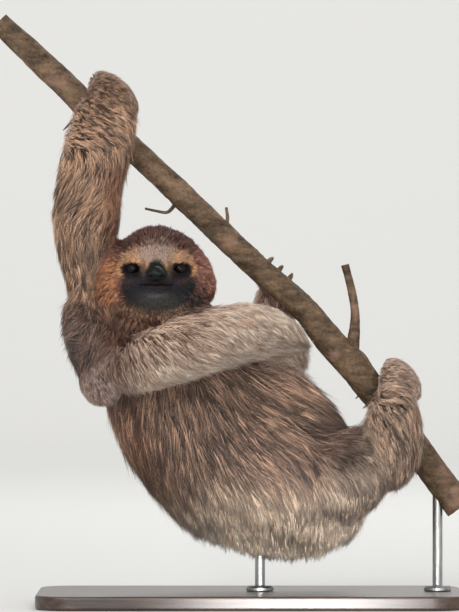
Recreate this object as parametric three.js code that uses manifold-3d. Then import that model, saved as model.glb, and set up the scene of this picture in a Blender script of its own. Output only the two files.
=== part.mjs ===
// A three-toed sloth at life size, as a still display model: it hangs under a sloping branch,
// one arm up over the wood and the other folded across its chest, on a flat stand with two rods.
// Millimetres, +Z up. The animal's front view is along +Y, its right arm is at -X, and the
// origin is the middle of the stand's underside. The flesh solids reach out to the tips of the coat.
import * as THREE from "three";
import { mergeVertices } from "three/addons/utils/BufferGeometryUtils.js";
import Module from "manifold-3d";

const wasm = await Module();
wasm.setup();

// ---- driving dimensions ----
const GAP = 0.4; // clear air between neighbouring solids

// A station is [x, y, z, half width, half depth]. The width lies along the limb's own `across`
// direction and the depth square to it. Each limb is a smooth skin over its stations.
const TRUNK = [
  [-109, 2, 200, 42, 42],
  [-84, 2, 176, 52, 53],
  [-52, 0, 152, 66, 65],
  [-11, 0, 128, 78, 68],
  [22, 0, 107, 73, 64],
  [50, 2, 90, 62, 56],
  [76, 4, 79, 47, 46],
  [95, 4, 74, 34, 34],
];
const NECK = [
  [-94, 2, 206, 30, 35],
  [-88, -26, 219, 32, 33],
  [-78, -44, 240, 29, 26],
];
const TAIL = [
  [60, 32, 82, 14, 13],
  [70, 54, 72, 12, 11],
  [77, 70, 63, 8, 7],
];

const RIGHT_UPPER_ARM = [
  [-96, -22, 177, 30, 28],
  [-114, -36, 201, 30, 27],
  [-126, -42, 230, 27, 25],
  [-130, -42, 254, 22, 22],
];
const RIGHT_FOREARM = [
  [-132, -42, 238, 20, 22],
  [-132, -42, 270, 24, 25],
  [-130, -42, 306, 29, 27],
  [-127, -42, 337, 27, 26],
  [-121, -42, 367, 29, 24],
  [-115, -38, 390, 28, 20],
  [-112, -34, 409, 26, 17],
  [-110, -31, 424, 20, 14],
];
const LEFT_UPPER_ARM = [
  [-48, 36, 208, 24, 28],
  [0, 28, 208, 25, 26],
  [47, 14, 199, 25, 24],
];
const LEFT_FOREARM = [
  [45, 2, 207, 20, 22],
  [17, -30, 219, 23, 22],
  [-12, -58, 218, 25, 22],
  [-41, -74, 210, 25, 22],
  [-71, -80, 201, 24, 22],
  [-98, -76, 191, 27, 20],
  [-112, -66, 181, 21, 17],
];
const LEFT_HAND = [
  [-104, -72, 185, 22, 16],
  [-116, -62, 179, 21, 14],
  [-126, -42, 182, 17, 11],
  [-129, -20, 186, 14, 8],
];
const RIGHT_THIGH = [
  [50, -24, 100, 32, 38],
  [80, -38, 105, 39, 35],
  [109, -46, 99, 28, 26],
];
const RIGHT_SHANK = [
  [110, -46, 94, 25, 25],
  [112, -44, 128, 26, 25],
  [113, -42, 155, 23, 23],
  [113, -36, 178, 21, 19],
];
const LEFT_THIGH = [
  [50, 34, 107, 31, 34],
  [28, 54, 137, 28, 30],
  [15, 64, 165, 24, 25],
];
const LEFT_SHANK = [
  [14, 64, 158, 23, 23],
  [15, 58, 191, 22, 21],
  [18, 46, 223, 19, 18],
  [20, 34, 246, 18, 14],
  [20, 28, 262, 14, 11],
];

// Head: an egg as wide as the cheek fur, flattened in front, with a short blunt muzzle.
const HEAD = { x: -73.5, y: -48, z: 256, side: 48, up: 48, down: 33, front: 35, back: 41, crown: 0.14 };
const MUZZLE = { x: -73, z: 259, side: 17, rise: 12, reach: 12 };
const EYE = { radius: 6, spread: 37.4, z: 269, y: -81, sink: 2.2 };
const NOSE = { z: 265, y: -94, side: 8.5, depth: 6.5, rise: 7 };

// The branch: its axis and its radius at each station, and the stub of a side twig.
const BRANCH = [
  [-201, 0, 466, 8.8],
  [-152, 0, 420, 10.4],
  [-120, 0, 388, 10.2],
  [-88, 0, 359, 9.6],
  [-56, 0, 329, 10.1],
  [-24, 0, 298, 10.2],
  [8, 0, 268, 10.1],
  [40, 0, 240, 10.4],
  [64, 0, 211, 11.6],
  [88, 0, 184, 12],
  [116, 0, 148, 12],
  [144, 0, 110, 11.8],
  [168, 0, 78, 11.8],
];
const TWIG = [
  [80, 0, 190, 7],
  [84, 0, 226, 4],
  [82, 0, 248, 3.4],
  [76, 0, 272, 3.2],
];

// A grip is where a foot hooks over the branch: at what x, on which face of the wood it starts,
// the turn it makes round the wood, in degrees, its half width and half depth, how far out its
// heel stands, and how far its claws go on round.
const GRIPS = {
  hand_right: { x: -124, front: -1, start: 6, end: 158, half: 27, thick: 11, lead: 34, tips: 262, flare: 28 },
  foot_right: { x: 102.5, front: -1, start: 6, end: 158, half: 23, thick: 10.5, lead: 35, tips: 226, flare: 22 },
  foot_left: { x: 17, front: 1, start: -26, end: 36, half: 16, thick: 7, lead: 27, tips: 92, flare: 14.5 },
};
const CLAW = { base: 3.4, tip: 0.8, spacing: 11.5, buried: 30 };

const BASE = { long: 340, wide: 160, thick: 11, corner: 26, bevel: 2 };
const ROD = { radius: 4, collar: 11, collarHigh: 4, bodyX: 8, bodyTop: 72, perchX: 150, perchTop: 96 };

// ---- shape helpers ----
const Y_AXIS = new THREE.Vector3(0, 1, 0);
const SIDEWAYS = new THREE.Vector3(1, 0, 0);
const UPWARD = new THREE.Vector3(0, 0, 1);
const lerp = THREE.MathUtils.lerp;

function toSolid(geometry) {
  const bare = geometry.clone();
  for (const name of Object.keys(bare.attributes)) if (name !== "position") bare.deleteAttribute(name);
  const merged = mergeVertices(bare, 1e-4);
  const mesh = new wasm.Mesh({
    numProp: 3,
    vertProperties: new Float32Array(merged.attributes.position.array),
    triVerts: new Uint32Array(merged.index.array),
  });
  const made = new wasm.Manifold(mesh);
  return made.volume() < 0 ? flipped(mesh) : made;
}

function flipped(mesh) {
  for (let i = 0; i < mesh.triVerts.length; i += 3) {
    const kept = mesh.triVerts[i];
    mesh.triVerts[i] = mesh.triVerts[i + 1];
    mesh.triVerts[i + 1] = kept;
  }
  return new wasm.Manifold(mesh);
}

function toGeometry(solid) {
  const mesh = solid.getMesh();
  const positions = new Float32Array(mesh.numVert * 3);
  for (let i = 0; i < mesh.numVert; i++) {
    positions.set(mesh.vertProperties.subarray(i * mesh.numProp, i * mesh.numProp + 3), i * 3);
  }
  const geometry = new THREE.BufferGeometry();
  geometry.setAttribute("position", new THREE.BufferAttribute(positions, 3));
  geometry.setIndex(new THREE.BufferAttribute(mesh.triVerts, 1));
  geometry.computeVertexNormals();
  return geometry;
}

// The biggest body of a cut solid: a cut can leave crumbs.
function largest(solid) {
  return solid.decompose().sort((a, b) => b.volume() - a.volume())[0];
}

// The half width and half depth at t, eased between the stations.
function halvesAt(stations, t) {
  const halves = stations.map(([, , , width, depth = width]) => new THREE.Vector2(width, depth));
  return new THREE.SplineCurve(halves).getPoint(t);
}

function axisOf(stations) {
  return new THREE.CatmullRomCurve3(
    stations.map((s) => new THREE.Vector3(s[0], s[1], s[2])),
    false,
    "centripetal",
  );
}

// The cross-section frame at t: `across` made square to the axis, and the third direction.
function frameAt(curve, t, across) {
  const along = curve.getTangent(t);
  const wide = across.clone().addScaledVector(along, -across.dot(along)).normalize();
  return { centre: curve.getPoint(t), along, wide, deep: new THREE.Vector3().crossVectors(along, wide) };
}

// Wraps a unit sphere or cylinder, whose Y is its length, round a curve of stations. With
// `blunt` the ends close over as round noses; without it they stay flat.
function wrap(shape, stations, across, grow, blunt = 0) {
  const curve = axisOf(stations);
  const position = shape.attributes.position;
  const point = new THREE.Vector3();
  for (let i = 0; i < position.count; i++) {
    point.fromBufferAttribute(position, i);
    const s = THREE.MathUtils.clamp((point.y + 1) / 2, 0, 1);
    const ring = Math.hypot(point.x, point.z);
    const full = blunt ? Math.sqrt(Math.max(0, 1 - Math.abs(2 * s - 1) ** blunt)) : ring;
    const share = ring > 1e-6 ? full / ring : 0;
    const { centre, along, wide, deep } = frameAt(curve, s, across);
    const half = halvesAt(stations, s);
    const end = grow * (2 * s - 1) ** 3;
    const sideways = position.getX(i) * share * (half.x + grow);
    const outward = position.getZ(i) * share * (half.y + grow);
    point.copy(centre).addScaledVector(along, end).addScaledVector(wide, sideways).addScaledVector(deep, outward);
    position.setXYZ(i, point.x, point.y, point.z);
  }
  return toSolid(shape);
}

// A limb: a skin with blunt round ends, `sides` round it and `rings` along it.
function limb(stations, { sides = 12, rings = 9, blunt = 3, across = Y_AXIS } = {}) {
  return (grow) => wrap(new THREE.SphereGeometry(1, sides, rings), stations, across, grow, blunt);
}

// A stem with flat sawn ends.
function stem(stations, sides, rings) {
  return (grow) => wrap(new THREE.CylinderGeometry(1, 1, 2, sides, rings), stations, Y_AXIS, grow);
}

function ball([x, y, z], [rx, ry, rz]) {
  return (grow) => {
    const sphere = new THREE.SphereGeometry(1, 10, 8);
    return toSolid(sphere.scale(rx + grow, ry + grow, rz + grow).translate(x, y, z));
  };
}

// ---- head ----
function headShape(grow) {
  const shape = new THREE.SphereGeometry(1, 22, 14);
  const position = shape.attributes.position;
  const eyeX = EYE.spread / 2;
  for (let i = 0; i < position.count; i++) {
    const [ux, uy, uz] = [position.getX(i), position.getY(i), position.getZ(i)];
    const tall = (uz > 0 ? HEAD.up : HEAD.down) + grow;
    const deep = (uy < 0 ? HEAD.front : HEAD.back) + grow;
    const x = ux * (HEAD.side + grow) * (1 - HEAD.crown * Math.max(0, uz));
    const z = uz * tall;
    const flat = uy < 0 ? Math.sign(uy) * Math.abs(uy) ** 0.8 : uy;
    let y = flat * deep;
    if (uy < 0) {
      const fromMuzzle = ((x + HEAD.x - MUZZLE.x) / MUZZLE.side) ** 2 + ((z + HEAD.z - MUZZLE.z) / MUZZLE.rise) ** 2;
      const fromEye = ((Math.abs(x) - eyeX) / 9) ** 2 + ((z + HEAD.z - EYE.z) / 8) ** 2;
      y -= MUZZLE.reach * Math.exp(-fromMuzzle / 2) * Math.abs(uy) ** 0.5;
      y += EYE.sink * Math.exp(-fromEye / 2);
    }
    position.setXYZ(i, x + HEAD.x, y + HEAD.y, z + HEAD.z);
  }
  return toSolid(shape);
}

// ---- feet that hook over the branch, and their claws ----
const branchAxis = axisOf(BRANCH);

// The frame of a grip: the point of the branch's axis over grip.x, and the directions round it.
function gripFrame(grip) {
  let low = 0;
  let high = 1;
  for (let step = 0; step < 30; step++) {
    const middle = (low + high) / 2;
    if (branchAxis.getPoint(middle).x < grip.x) low = middle;
    else high = middle;
  }
  const along = branchAxis.getTangent(low);
  const up = new THREE.Vector3().crossVectors(along, Y_AXIS).normalize();
  if (up.z < 0) up.negate();
  const face = Y_AXIS.clone().multiplyScalar(grip.front);
  return { centre: branchAxis.getPoint(low), along, up, face, radius: halvesAt(BRANCH, low).x };
}

// A point round the branch: 0 degrees is on the grip's own face, 90 on top, 180 on the far face.
function round(frame, degrees, distance, shift = 0) {
  const turn = THREE.MathUtils.degToRad(degrees);
  return frame.centre
    .clone()
    .addScaledVector(frame.along, shift)
    .addScaledVector(frame.face, Math.cos(turn) * distance)
    .addScaledVector(frame.up, Math.sin(turn) * distance);
}

function hook(grip) {
  const frame = gripFrame(grip);
  const stations = [0, 0.25, 0.5, 0.75, 1].map((s) => {
    const distance = lerp(grip.lead, frame.radius + grip.thick + 0.5, Math.min(1, s * 1.8));
    const at = round(frame, lerp(grip.start, grip.end, s), distance);
    return [at.x, at.y, at.z, grip.half * lerp(1, 0.82, s), grip.thick * lerp(1.5, 0.8, s)];
  });
  return limb(stations, { across: frame.along });
}

function gripClaw(grip, index) {
  const frame = gripFrame(grip);
  const stations = [0, 0.33, 0.67, 1].map((s) => {
    const distance = lerp(frame.radius + CLAW.base + 2, grip.flare, s);
    const degrees = lerp(grip.end - CLAW.buried, grip.tips, s);
    const at = round(frame, degrees, distance, index * CLAW.spacing * lerp(1, 0.85, s));
    return [at.x, at.y, at.z, lerp(CLAW.base, CLAW.tip, s ** 1.4)];
  });
  return limb(stations, { sides: 6, rings: 7, blunt: 6, across: frame.along });
}

// The folded left hand lies round the shoulder: its claws curl on over the animal's back.
function foldedClaw(index) {
  const rise = index * CLAW.spacing;
  const stations = [
    [-128, -28, 185 + rise, CLAW.base],
    [-130, -10, 185 + rise * 0.95, CLAW.base * 0.9],
    [-127, 8, 184 + rise * 0.9, CLAW.base * 0.65],
    [-118, 23, 183 + rise * 0.85, CLAW.tip],
  ];
  return limb(stations, { sides: 6, rings: 7, blunt: 6, across: UPWARD });
}

// ---- branch and stand ----
function branchShape(grow) {
  return stem(BRANCH, 12, 18)(grow).add(stem(TWIG, 8, 4)(grow));
}

function rodShape(x, top) {
  return (grow) => {
    const foot = BASE.thick + GAP - grow;
    const profile = [
      [0, foot],
      [ROD.collar + grow, foot],
      [ROD.collar + grow, foot + ROD.collarHigh * 0.6],
      [ROD.collar - 1.5 + grow, foot + ROD.collarHigh],
      [ROD.radius + grow, foot + ROD.collarHigh],
      [ROD.radius + grow, top + grow],
      [0, top + grow],
    ].map(([r, z]) => new THREE.Vector2(r, z));
    return toSolid(new THREE.LatheGeometry(profile, 16).rotateX(Math.PI / 2).translate(x, 0, 0));
  };
}

function baseShape() {
  const { long, wide, corner, bevel, thick } = BASE;
  const [hx, hy] = [long / 2 - bevel, wide / 2 - bevel];
  const plan = new THREE.Shape();
  plan.moveTo(-hx + corner, -hy);
  for (const [cx, cy, from] of [
    [hx - corner, -hy + corner, -90],
    [hx - corner, hy - corner, 0],
    [-hx + corner, hy - corner, 90],
    [-hx + corner, -hy + corner, 180],
  ]) {
    const start = THREE.MathUtils.degToRad(from);
    plan.absarc(cx, cy, corner, start, start + Math.PI / 2, false);
  }
  const plate = new THREE.ExtrudeGeometry(plan, {
    depth: thick - 2 * bevel,
    bevelThickness: bevel,
    bevelSize: bevel,
    bevelSegments: 1,
    curveSegments: 4,
  });
  return toSolid(plate.translate(0, 0, bevel));
}

// ---- materials ----
const finish = (color, roughness, metalness = 0) => new THREE.MeshStandardMaterial({ color, roughness, metalness });
const FUR = finish(0x8a6d58, 0.95);
const FACE_FUR = finish(0x6b5142, 0.95);
const HORN = finish(0xb8a684, 0.45);
const EYE_GLOSS = finish(0x0c0908, 0.08);
const NOSE_SKIN = finish(0x16130f, 0.35);
const BARK = finish(0x7b6350, 0.9);
const STAINED_WOOD = finish(0x33261d, 0.5);
const STEEL = finish(0x9a9a98, 0.35, 0.9);

// ---- the pieces: each one gives way to all that stand before it in the list ----
const eyeball = (side) => {
  const x = MUZZLE.x + (side * EYE.spread) / 2;
  return ball([x, EYE.y, EYE.z], [EYE.radius, EYE.radius, EYE.radius]);
};
const clawsOf = (name, claw) => [-1, 0, 1].map((index) => [`claw_${name}_${index + 2}`, claw(index), HORN]);

const pieces = [
  ["stand_rod_perch", rodShape(ROD.perchX, ROD.perchTop), STEEL],
  ["stand_rod_body", rodShape(ROD.bodyX, ROD.bodyTop), STEEL],
  ["perch", branchShape, BARK],
  ["eye_right", eyeball(-1), EYE_GLOSS],
  ["eye_left", eyeball(1), EYE_GLOSS],
  ["nose", ball([MUZZLE.x, NOSE.y, NOSE.z], [NOSE.side, NOSE.depth, NOSE.rise]), NOSE_SKIN],
  ...Object.entries(GRIPS).flatMap(([name, grip]) => clawsOf(name, (index) => gripClaw(grip, index))),
  ...clawsOf("hand_left", foldedClaw),
  ...Object.entries(GRIPS).map(([name, grip]) => [name, hook(grip), FUR]),
  ["head", headShape, FACE_FUR],
  ["hand_left", limb(LEFT_HAND, { across: UPWARD }), FUR],
  ["forearm_left", limb(LEFT_FOREARM, { across: UPWARD, rings: 11 }), FUR],
  ["forearm_right", limb(RIGHT_FOREARM, { across: SIDEWAYS, rings: 11 }), FUR],
  ["shank_right", limb(RIGHT_SHANK, { across: SIDEWAYS }), FUR],
  ["shank_left", limb(LEFT_SHANK, { across: SIDEWAYS }), FUR],
  ["upper_arm_right", limb(RIGHT_UPPER_ARM, { across: SIDEWAYS }), FUR],
  ["upper_arm_left", limb(LEFT_UPPER_ARM, { across: UPWARD }), FUR],
  ["thigh_right", limb(RIGHT_THIGH, { across: UPWARD }), FUR],
  ["thigh_left", limb(LEFT_THIGH, { across: SIDEWAYS }), FUR],
  ["neck", limb(NECK, { across: SIDEWAYS }), FUR],
  ["trunk", limb(TRUNK, { across: new THREE.Vector3(0.5, 0, 0.86), sides: 18, rings: 15, blunt: 3.6 }), FUR],
  ["tail", limb(TAIL, { across: SIDEWAYS, sides: 10, rings: 7 }), FUR],
];

const sloth = new THREE.Group();
function addNode(name, solid, material) {
  const mesh = new THREE.Mesh(toGeometry(solid), material);
  mesh.name = name;
  sloth.add(mesh);
}

pieces.forEach(([name, shape, material], index) => {
  let solid = shape(0);
  for (const [, earlier] of pieces.slice(0, index)) solid = solid.subtract(earlier(GAP));
  addNode(name, largest(solid), material);
});
addNode("stand_base", baseShape(), STAINED_WOOD);

export default sloth;
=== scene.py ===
"""A three-toed sloth at life size, hanging from a cut branch on a plain display stand.

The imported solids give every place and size, in metres: +Z up, the animal's face along -Y, its
right arm at -X. One skin replaces the flesh solids and lies inside them by the coat's depth, and
the coat is thousands of closed, tapered tufts that grow from it.
"""

import logging
import math
from dataclasses import dataclass
from enum import Enum

import bmesh
import bpy
import numpy as np
from bmesh.types import BMesh, BMVert
from bpy.types import Light, Material, Mesh, Node, NodeSocket, NodeTree, Object
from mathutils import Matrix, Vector
from mathutils.bvhtree import BVHTree
from mathutils.kdtree import KDTree


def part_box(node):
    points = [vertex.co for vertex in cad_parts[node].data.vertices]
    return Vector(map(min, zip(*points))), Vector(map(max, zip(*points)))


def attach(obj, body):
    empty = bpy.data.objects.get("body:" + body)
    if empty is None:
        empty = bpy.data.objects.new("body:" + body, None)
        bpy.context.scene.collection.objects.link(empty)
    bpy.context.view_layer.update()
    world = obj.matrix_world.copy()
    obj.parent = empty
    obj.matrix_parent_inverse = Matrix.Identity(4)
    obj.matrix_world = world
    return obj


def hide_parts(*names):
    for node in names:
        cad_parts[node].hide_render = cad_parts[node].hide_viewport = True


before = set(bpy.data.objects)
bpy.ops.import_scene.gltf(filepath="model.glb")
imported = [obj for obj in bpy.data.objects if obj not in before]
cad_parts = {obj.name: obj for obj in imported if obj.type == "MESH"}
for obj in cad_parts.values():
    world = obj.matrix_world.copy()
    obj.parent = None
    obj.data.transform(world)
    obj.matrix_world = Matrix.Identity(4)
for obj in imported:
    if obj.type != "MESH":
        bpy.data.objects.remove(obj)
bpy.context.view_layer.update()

MM = 0.001
LOG = logging.getLogger("sloth")
ROOT_BODY = "root"
TONE = "tone"  # the colour attribute that skin and coat share
Way = tuple[float, float, float]
Array = np.ndarray


# ---- small tools ----
def srgb(red: float, green: float, blue: float) -> Array:
    """Turns a colour of 0 to 255 into linear light.

    Args:
        red: Red part.
        green: Green part.
        blue: Blue part.

    Returns:
        The three linear parts.
    """
    parts = np.array([red, green, blue], dtype=float) / 255.0
    return np.where(parts <= 0.04045, parts / 12.92, ((parts + 0.055) / 1.055) ** 2.4)


def waves(points: Array, size: float, seed: int, count: int = 18) -> Array:
    """Smooth noise in space, made of plane waves.

    Args:
        points: Places, one row each.
        size: Rough distance between a peak and the next one.
        seed: Picks the waves.
        count: How many waves are added.

    Returns:
        One value for each place, mostly within -1 to 1.
    """
    rng = np.random.default_rng(seed)
    turns = rng.normal(size=(3, count)) * (2.4 / size)
    phase = rng.uniform(0, 2 * math.pi, count)
    return np.sin(points @ turns + phase).sum(axis=1) * math.sqrt(2.0 / count) * 0.6


def unit(rows: Array) -> Array:
    """Scales each row to length one."""
    return rows / np.maximum(np.linalg.norm(rows, axis=-1, keepdims=True), 1e-12)


def ease(value: Array, low: float, high: float) -> Array:
    """A smooth step from 0 at low to 1 at high.

    Args:
        value: What is tested.
        low: Where the step starts.
        high: Where it ends; it may be less than low.

    Returns:
        Values of 0 to 1.
    """
    part = np.clip((value - low) / (high - low), 0.0, 1.0)
    return part * part * (3.0 - 2.0 * part)


def bump(x: Array, z: Array, at: tuple[float, float], wide: float, high: float) -> Array:
    """A soft round spot on the face, 1 at its middle.

    Args:
        x: Distances across the face.
        z: Heights on the face.
        at: The middle of the spot.
        wide: Its spread across.
        high: Its spread up and down.

    Returns:
        Values of 0 to 1.
    """
    return np.exp(-0.5 * (((x - at[0]) / wide) ** 2 + ((z - at[1]) / high) ** 2))


def mix(first: Array, second: Array, share: Array) -> Array:
    """Blends two colours, or rows of colours, by a share for each row."""
    share = np.asarray(share)[..., None]
    return first * (1.0 - share) + second * share


def mesh_of(name: str, places: Array, faces: list[Array]) -> Mesh:
    """Makes a smooth shaded mesh from arrays.

    Args:
        name: The mesh's name.
        places: Vertex places, one row each.
        faces: Arrays of faces, each of one corner count.

    Returns:
        The mesh.
    """
    mesh = bpy.data.meshes.new(name)
    corners = np.concatenate([part.ravel() for part in faces]).astype(np.int32)
    counts = np.concatenate([np.full(len(part), part.shape[1]) for part in faces])
    starts = np.concatenate([[0], np.cumsum(counts)[:-1]]).astype(np.int32)
    mesh.vertices.add(len(places))
    mesh.vertices.foreach_set("co", places.astype(np.float32).ravel())
    mesh.loops.add(len(corners))
    mesh.loops.foreach_set("vertex_index", corners)
    mesh.polygons.add(len(counts))
    mesh.polygons.foreach_set("loop_start", starts)
    smooth_shade(mesh)
    mesh.update(calc_edges=True)
    return mesh


def linked(name: str, data: bpy.types.ID) -> Object:
    """Makes an object that shows some data, and links it to the scene.

    Args:
        name: The object's name.
        data: Its mesh, curve, light or camera.

    Returns:
        The object.
    """
    made = bpy.data.objects.new(name, data)
    bpy.context.scene.collection.objects.link(made)
    return made


def settled(name: str, body: BMesh) -> Mesh:
    """Turns a bmesh into a mesh, and frees it.

    Args:
        name: The mesh's name.
        body: The bmesh.

    Returns:
        The mesh.
    """
    mesh = bpy.data.meshes.new(name)
    body.to_mesh(mesh)
    body.free()
    return mesh


def rows_of(
    items: bpy.types.bpy_prop_collection, name: str, width: int, kind: type = np.float32
) -> Array:
    """Reads a property of all items of a collection.

    Args:
        items: The collection, such as a mesh's vertices.
        name: The property's name.
        width: How many numbers it has in each item.
        kind: The numbers' type.

    Returns:
        One row for each item.
    """
    rows = np.empty(len(items) * width, dtype=kind)
    items.foreach_get(name, rows)
    return rows.reshape(-1, width)


def smooth_shade(mesh: Mesh) -> None:
    """Shades all faces of a mesh smooth."""
    mesh.polygons.foreach_set("use_smooth", np.ones(len(mesh.polygons), dtype=bool))


def reshape(mesh: Mesh, places: Array) -> None:
    """Moves a mesh's vertices to new places."""
    mesh.vertices.foreach_set("co", places.astype(np.float32).ravel())
    mesh.update()


def paint(mesh: Mesh, colours: Array) -> None:
    """Writes the shared colour attribute.

    Args:
        mesh: The mesh.
        colours: A linear colour for each vertex.
    """
    layer = mesh.color_attributes.new(TONE, "FLOAT_COLOR", "POINT")
    rows = np.ones((len(mesh.vertices), 4), dtype=np.float32)
    rows[:, :3] = np.clip(colours, 0.0, 1.0)
    layer.data.foreach_set("color", rows.ravel())


def place(
    name: str,
    mesh: Mesh,
    material: Material,
    slot: str,
    nodes: tuple[str, ...] = (),
) -> Object:
    """Puts a finished mesh in the scene as a piece of the object.

    Args:
        name: The piece's name.
        mesh: Its mesh, with its place in its vertices.
        material: Its finish.
        slot: A material slot's name, which is not used.
        nodes: The solids that it stands for.

    Returns:
        The new object.
    """
    piece = linked(name, mesh)
    mesh.materials.clear()
    mesh.materials.append(material)
    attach(piece, ROOT_BODY)
    if nodes:
        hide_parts(*nodes)
    LOG.info("%s: %d faces", name, len(mesh.polygons))
    return piece


def welded(node: str) -> BMesh:
    """Copies a solid's mesh and merges its loose corners.

    Args:
        node: The solid's name.

    Returns:
        A new bmesh, which the caller frees.
    """
    copy = bmesh.new()
    copy.from_mesh(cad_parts[node].data)
    bmesh.ops.remove_doubles(copy, verts=copy.verts, dist=1e-5)
    return copy


# ---- finishes ----
def add_node(tree: NodeTree, kind: str, **inputs: object) -> Node:
    """Adds a node to a tree.

    Args:
        tree: The node tree.
        kind: The node's type name.
        inputs: Values for its inputs by name, with spaces as underscores.

    Returns:
        The node.
    """
    node = tree.nodes.new(kind)
    for key, value in inputs.items():
        node.inputs[key.replace("_", " ")].default_value = value
    return node


class Sheet:
    """A material's node tree, with short calls to add and link nodes."""

    def __init__(self, name: str) -> None:
        """Starts a material that holds one principled shader.

        Args:
            name: The material's name.
        """
        self.material = bpy.data.materials.new(name)
        self.material.use_nodes = True
        self.tree = self.material.node_tree
        self.shader = self.tree.nodes["Principled BSDF"]

    def put(self, kind: str, **inputs: object) -> Node:
        """Adds a shader node of a kind, named without its ShaderNode, with input values."""
        return add_node(self.tree, "ShaderNode" + kind, **inputs)

    def join(self, output: NodeSocket, into: NodeSocket) -> None:
        """Links an output to an input."""
        self.tree.links.new(output, into)

    def ramp(
        self, source: NodeSocket, stops: list[tuple[float, Array]], scale: float = 1.0
    ) -> Node:
        """Adds a colour ramp.

        Args:
            source: What drives it.
            stops: Places along it, each with its linear colour.
            scale: What the source is multiplied by first.

        Returns:
            The ramp node.
        """
        node = self.put("ValToRGB")
        if scale != 1.0:
            source = self.blend(source, scale, None)
        elements = node.color_ramp.elements
        while len(elements) < len(stops):
            elements.new(0.5)
        for element, (at, colour) in zip(elements, stops):
            element.position = at
            element.color = (*colour, 1.0)
        self.join(source, node.inputs["Fac"])
        return node

    def blend(
        self, source: NodeSocket, share: float, other: NodeSocket | None
    ) -> NodeSocket:
        """Multiplies a value and adds another one.

        Args:
            source: The value.
            share: What it is multiplied by.
            other: What is added, or None.

        Returns:
            The sum.
        """
        node = self.put("Math")
        node.operation = "MULTIPLY_ADD"
        node.inputs[1].default_value = share
        node.inputs[2].default_value = 0.0
        self.join(source, node.inputs[0])
        if other is not None:
            self.join(other, node.inputs[2])
        return node.outputs["Value"]

    def dab(
        self, tone: NodeSocket, spots: NodeSocket, low: float, colour: Way, most: float
    ) -> NodeSocket:
        """Lays soft spots of another colour over a tone.

        Args:
            tone: The colour below.
            spots: The noise that places the spots.
            low: The noise's value where they start.
            colour: Their colour, of 0 to 255.
            most: Their share where they are strongest.

        Returns:
            The blended colour.
        """
        edge = 0.12
        share = self.ramp(spots, [(low, np.zeros(3)), (low + edge, np.full(3, most))])
        both = self.put("Mix")
        both.data_type = "RGBA"
        self.join(share.outputs["Color"], both.inputs[0])
        self.join(tone, both.inputs[6])
        both.inputs[7].default_value = (*srgb(*colour), 1.0)
        return both.outputs[2]

    def grain(self, scale: float, detail: float = 4.0, stretch: Way = (1.0, 1.0, 1.0)) -> Node:
        """Adds noise over the object's own coordinates.

        Args:
            scale: The noise's scale.
            detail: Its detail.
            stretch: What the coordinates are multiplied by along each axis.

        Returns:
            The noise node.
        """
        place_node = self.put("TexCoord")
        turn = self.put("Mapping", Scale=stretch)
        self.join(place_node.outputs["Object"], turn.inputs["Vector"])
        noise = self.put("TexNoise", Scale=scale, Detail=detail)
        self.join(turn.outputs["Vector"], noise.inputs["Vector"])
        return noise

    def emboss(self, source: NodeSocket, strength: float, depth: float) -> None:
        """Drives the shader's normal with a bump.

        Args:
            source: The bump's height.
            strength: Its strength.
            depth: Its depth in metres.
        """
        node = self.put("Bump", Strength=strength, Distance=depth)
        self.join(source, node.inputs["Height"])
        self.join(node.outputs["Normal"], self.shader.inputs["Normal"])

    def set(self, **values: object) -> None:
        """Sets the shader's own sockets by name, with spaces as underscores."""
        for key, value in values.items():
            self.shader.inputs[key.replace("_", " ")].default_value = value

    def wear_tone(self) -> None:
        """Colours the shader with the colour attribute that skin and coat share."""
        self.join(self.shared_tone(), self.shader.inputs["Base Color"])

    def shared_tone(self) -> NodeSocket:
        """Reads the shared colour attribute.

        Returns:
            Its colour.
        """
        tone = self.put("Attribute")
        tone.attribute_name = TONE
        return tone.outputs["Color"]

    def stain(
        self, source: NodeSocket, dark: tuple[float, Way], pale: tuple[float, Way]
    ) -> None:
        """Colours the shader by a value, from a dark tone to a pale one.

        Args:
            source: The value.
            dark: Where the dark tone ends, and its colour of 0 to 255.
            pale: Where the pale tone starts, and its colour.
        """
        ramp = self.ramp(source, [(at, srgb(*colour)) for at, colour in (dark, pale)])
        self.join(ramp.outputs["Color"], self.shader.inputs["Base Color"])


@dataclass(frozen=True)
class HairFinish:
    """Dry animal hair that takes its colour from the shared attribute."""

    name: str = "hair"
    roughness: float = 0.44
    sheen: float = 0.14
    sheen_roughness: float = 0.5
    gloss: float = 0.42
    streak: float = 0.16
    streak_scale: float = 900.0

    def make(self) -> Material:
        """Builds the material.

        Returns:
            The material.
        """
        sheet = Sheet(self.name)
        noise = sheet.grain(self.streak_scale, 2.0)
        shade = sheet.put("HueSaturation")
        span = sheet.put("MapRange", To_Min=1.0 - self.streak, To_Max=1.0 + self.streak)
        sheet.join(noise.outputs["Fac"], span.inputs["Value"])
        sheet.join(span.outputs["Result"], shade.inputs["Value"])
        sheet.join(sheet.shared_tone(), shade.inputs["Color"])
        sheet.join(shade.outputs["Color"], sheet.shader.inputs["Base Color"])
        sheet.set(Roughness=self.roughness, Specular_IOR_Level=self.gloss)
        sheet.set(Sheen_Weight=self.sheen, Sheen_Roughness=self.sheen_roughness)
        return sheet.material


@dataclass(frozen=True)
class SkinFinish:
    """Skin under the coat, with a nap of very short hair pressed into it."""

    name: str = "skin"
    roughness: float = 0.7
    gloss: float = 0.12
    nap_scale: float = 1400.0
    nap_strength: float = 0.5
    nap_depth: float = 0.6 * MM

    def make(self) -> Material:
        """Builds the material.

        Returns:
            The material.
        """
        sheet = Sheet(self.name)
        sheet.wear_tone()
        nap = sheet.grain(self.nap_scale, 3.0)
        sheet.emboss(nap.outputs["Fac"], self.nap_strength, self.nap_depth)
        sheet.set(Roughness=self.roughness, Specular_IOR_Level=self.gloss)
        return sheet.material


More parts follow.
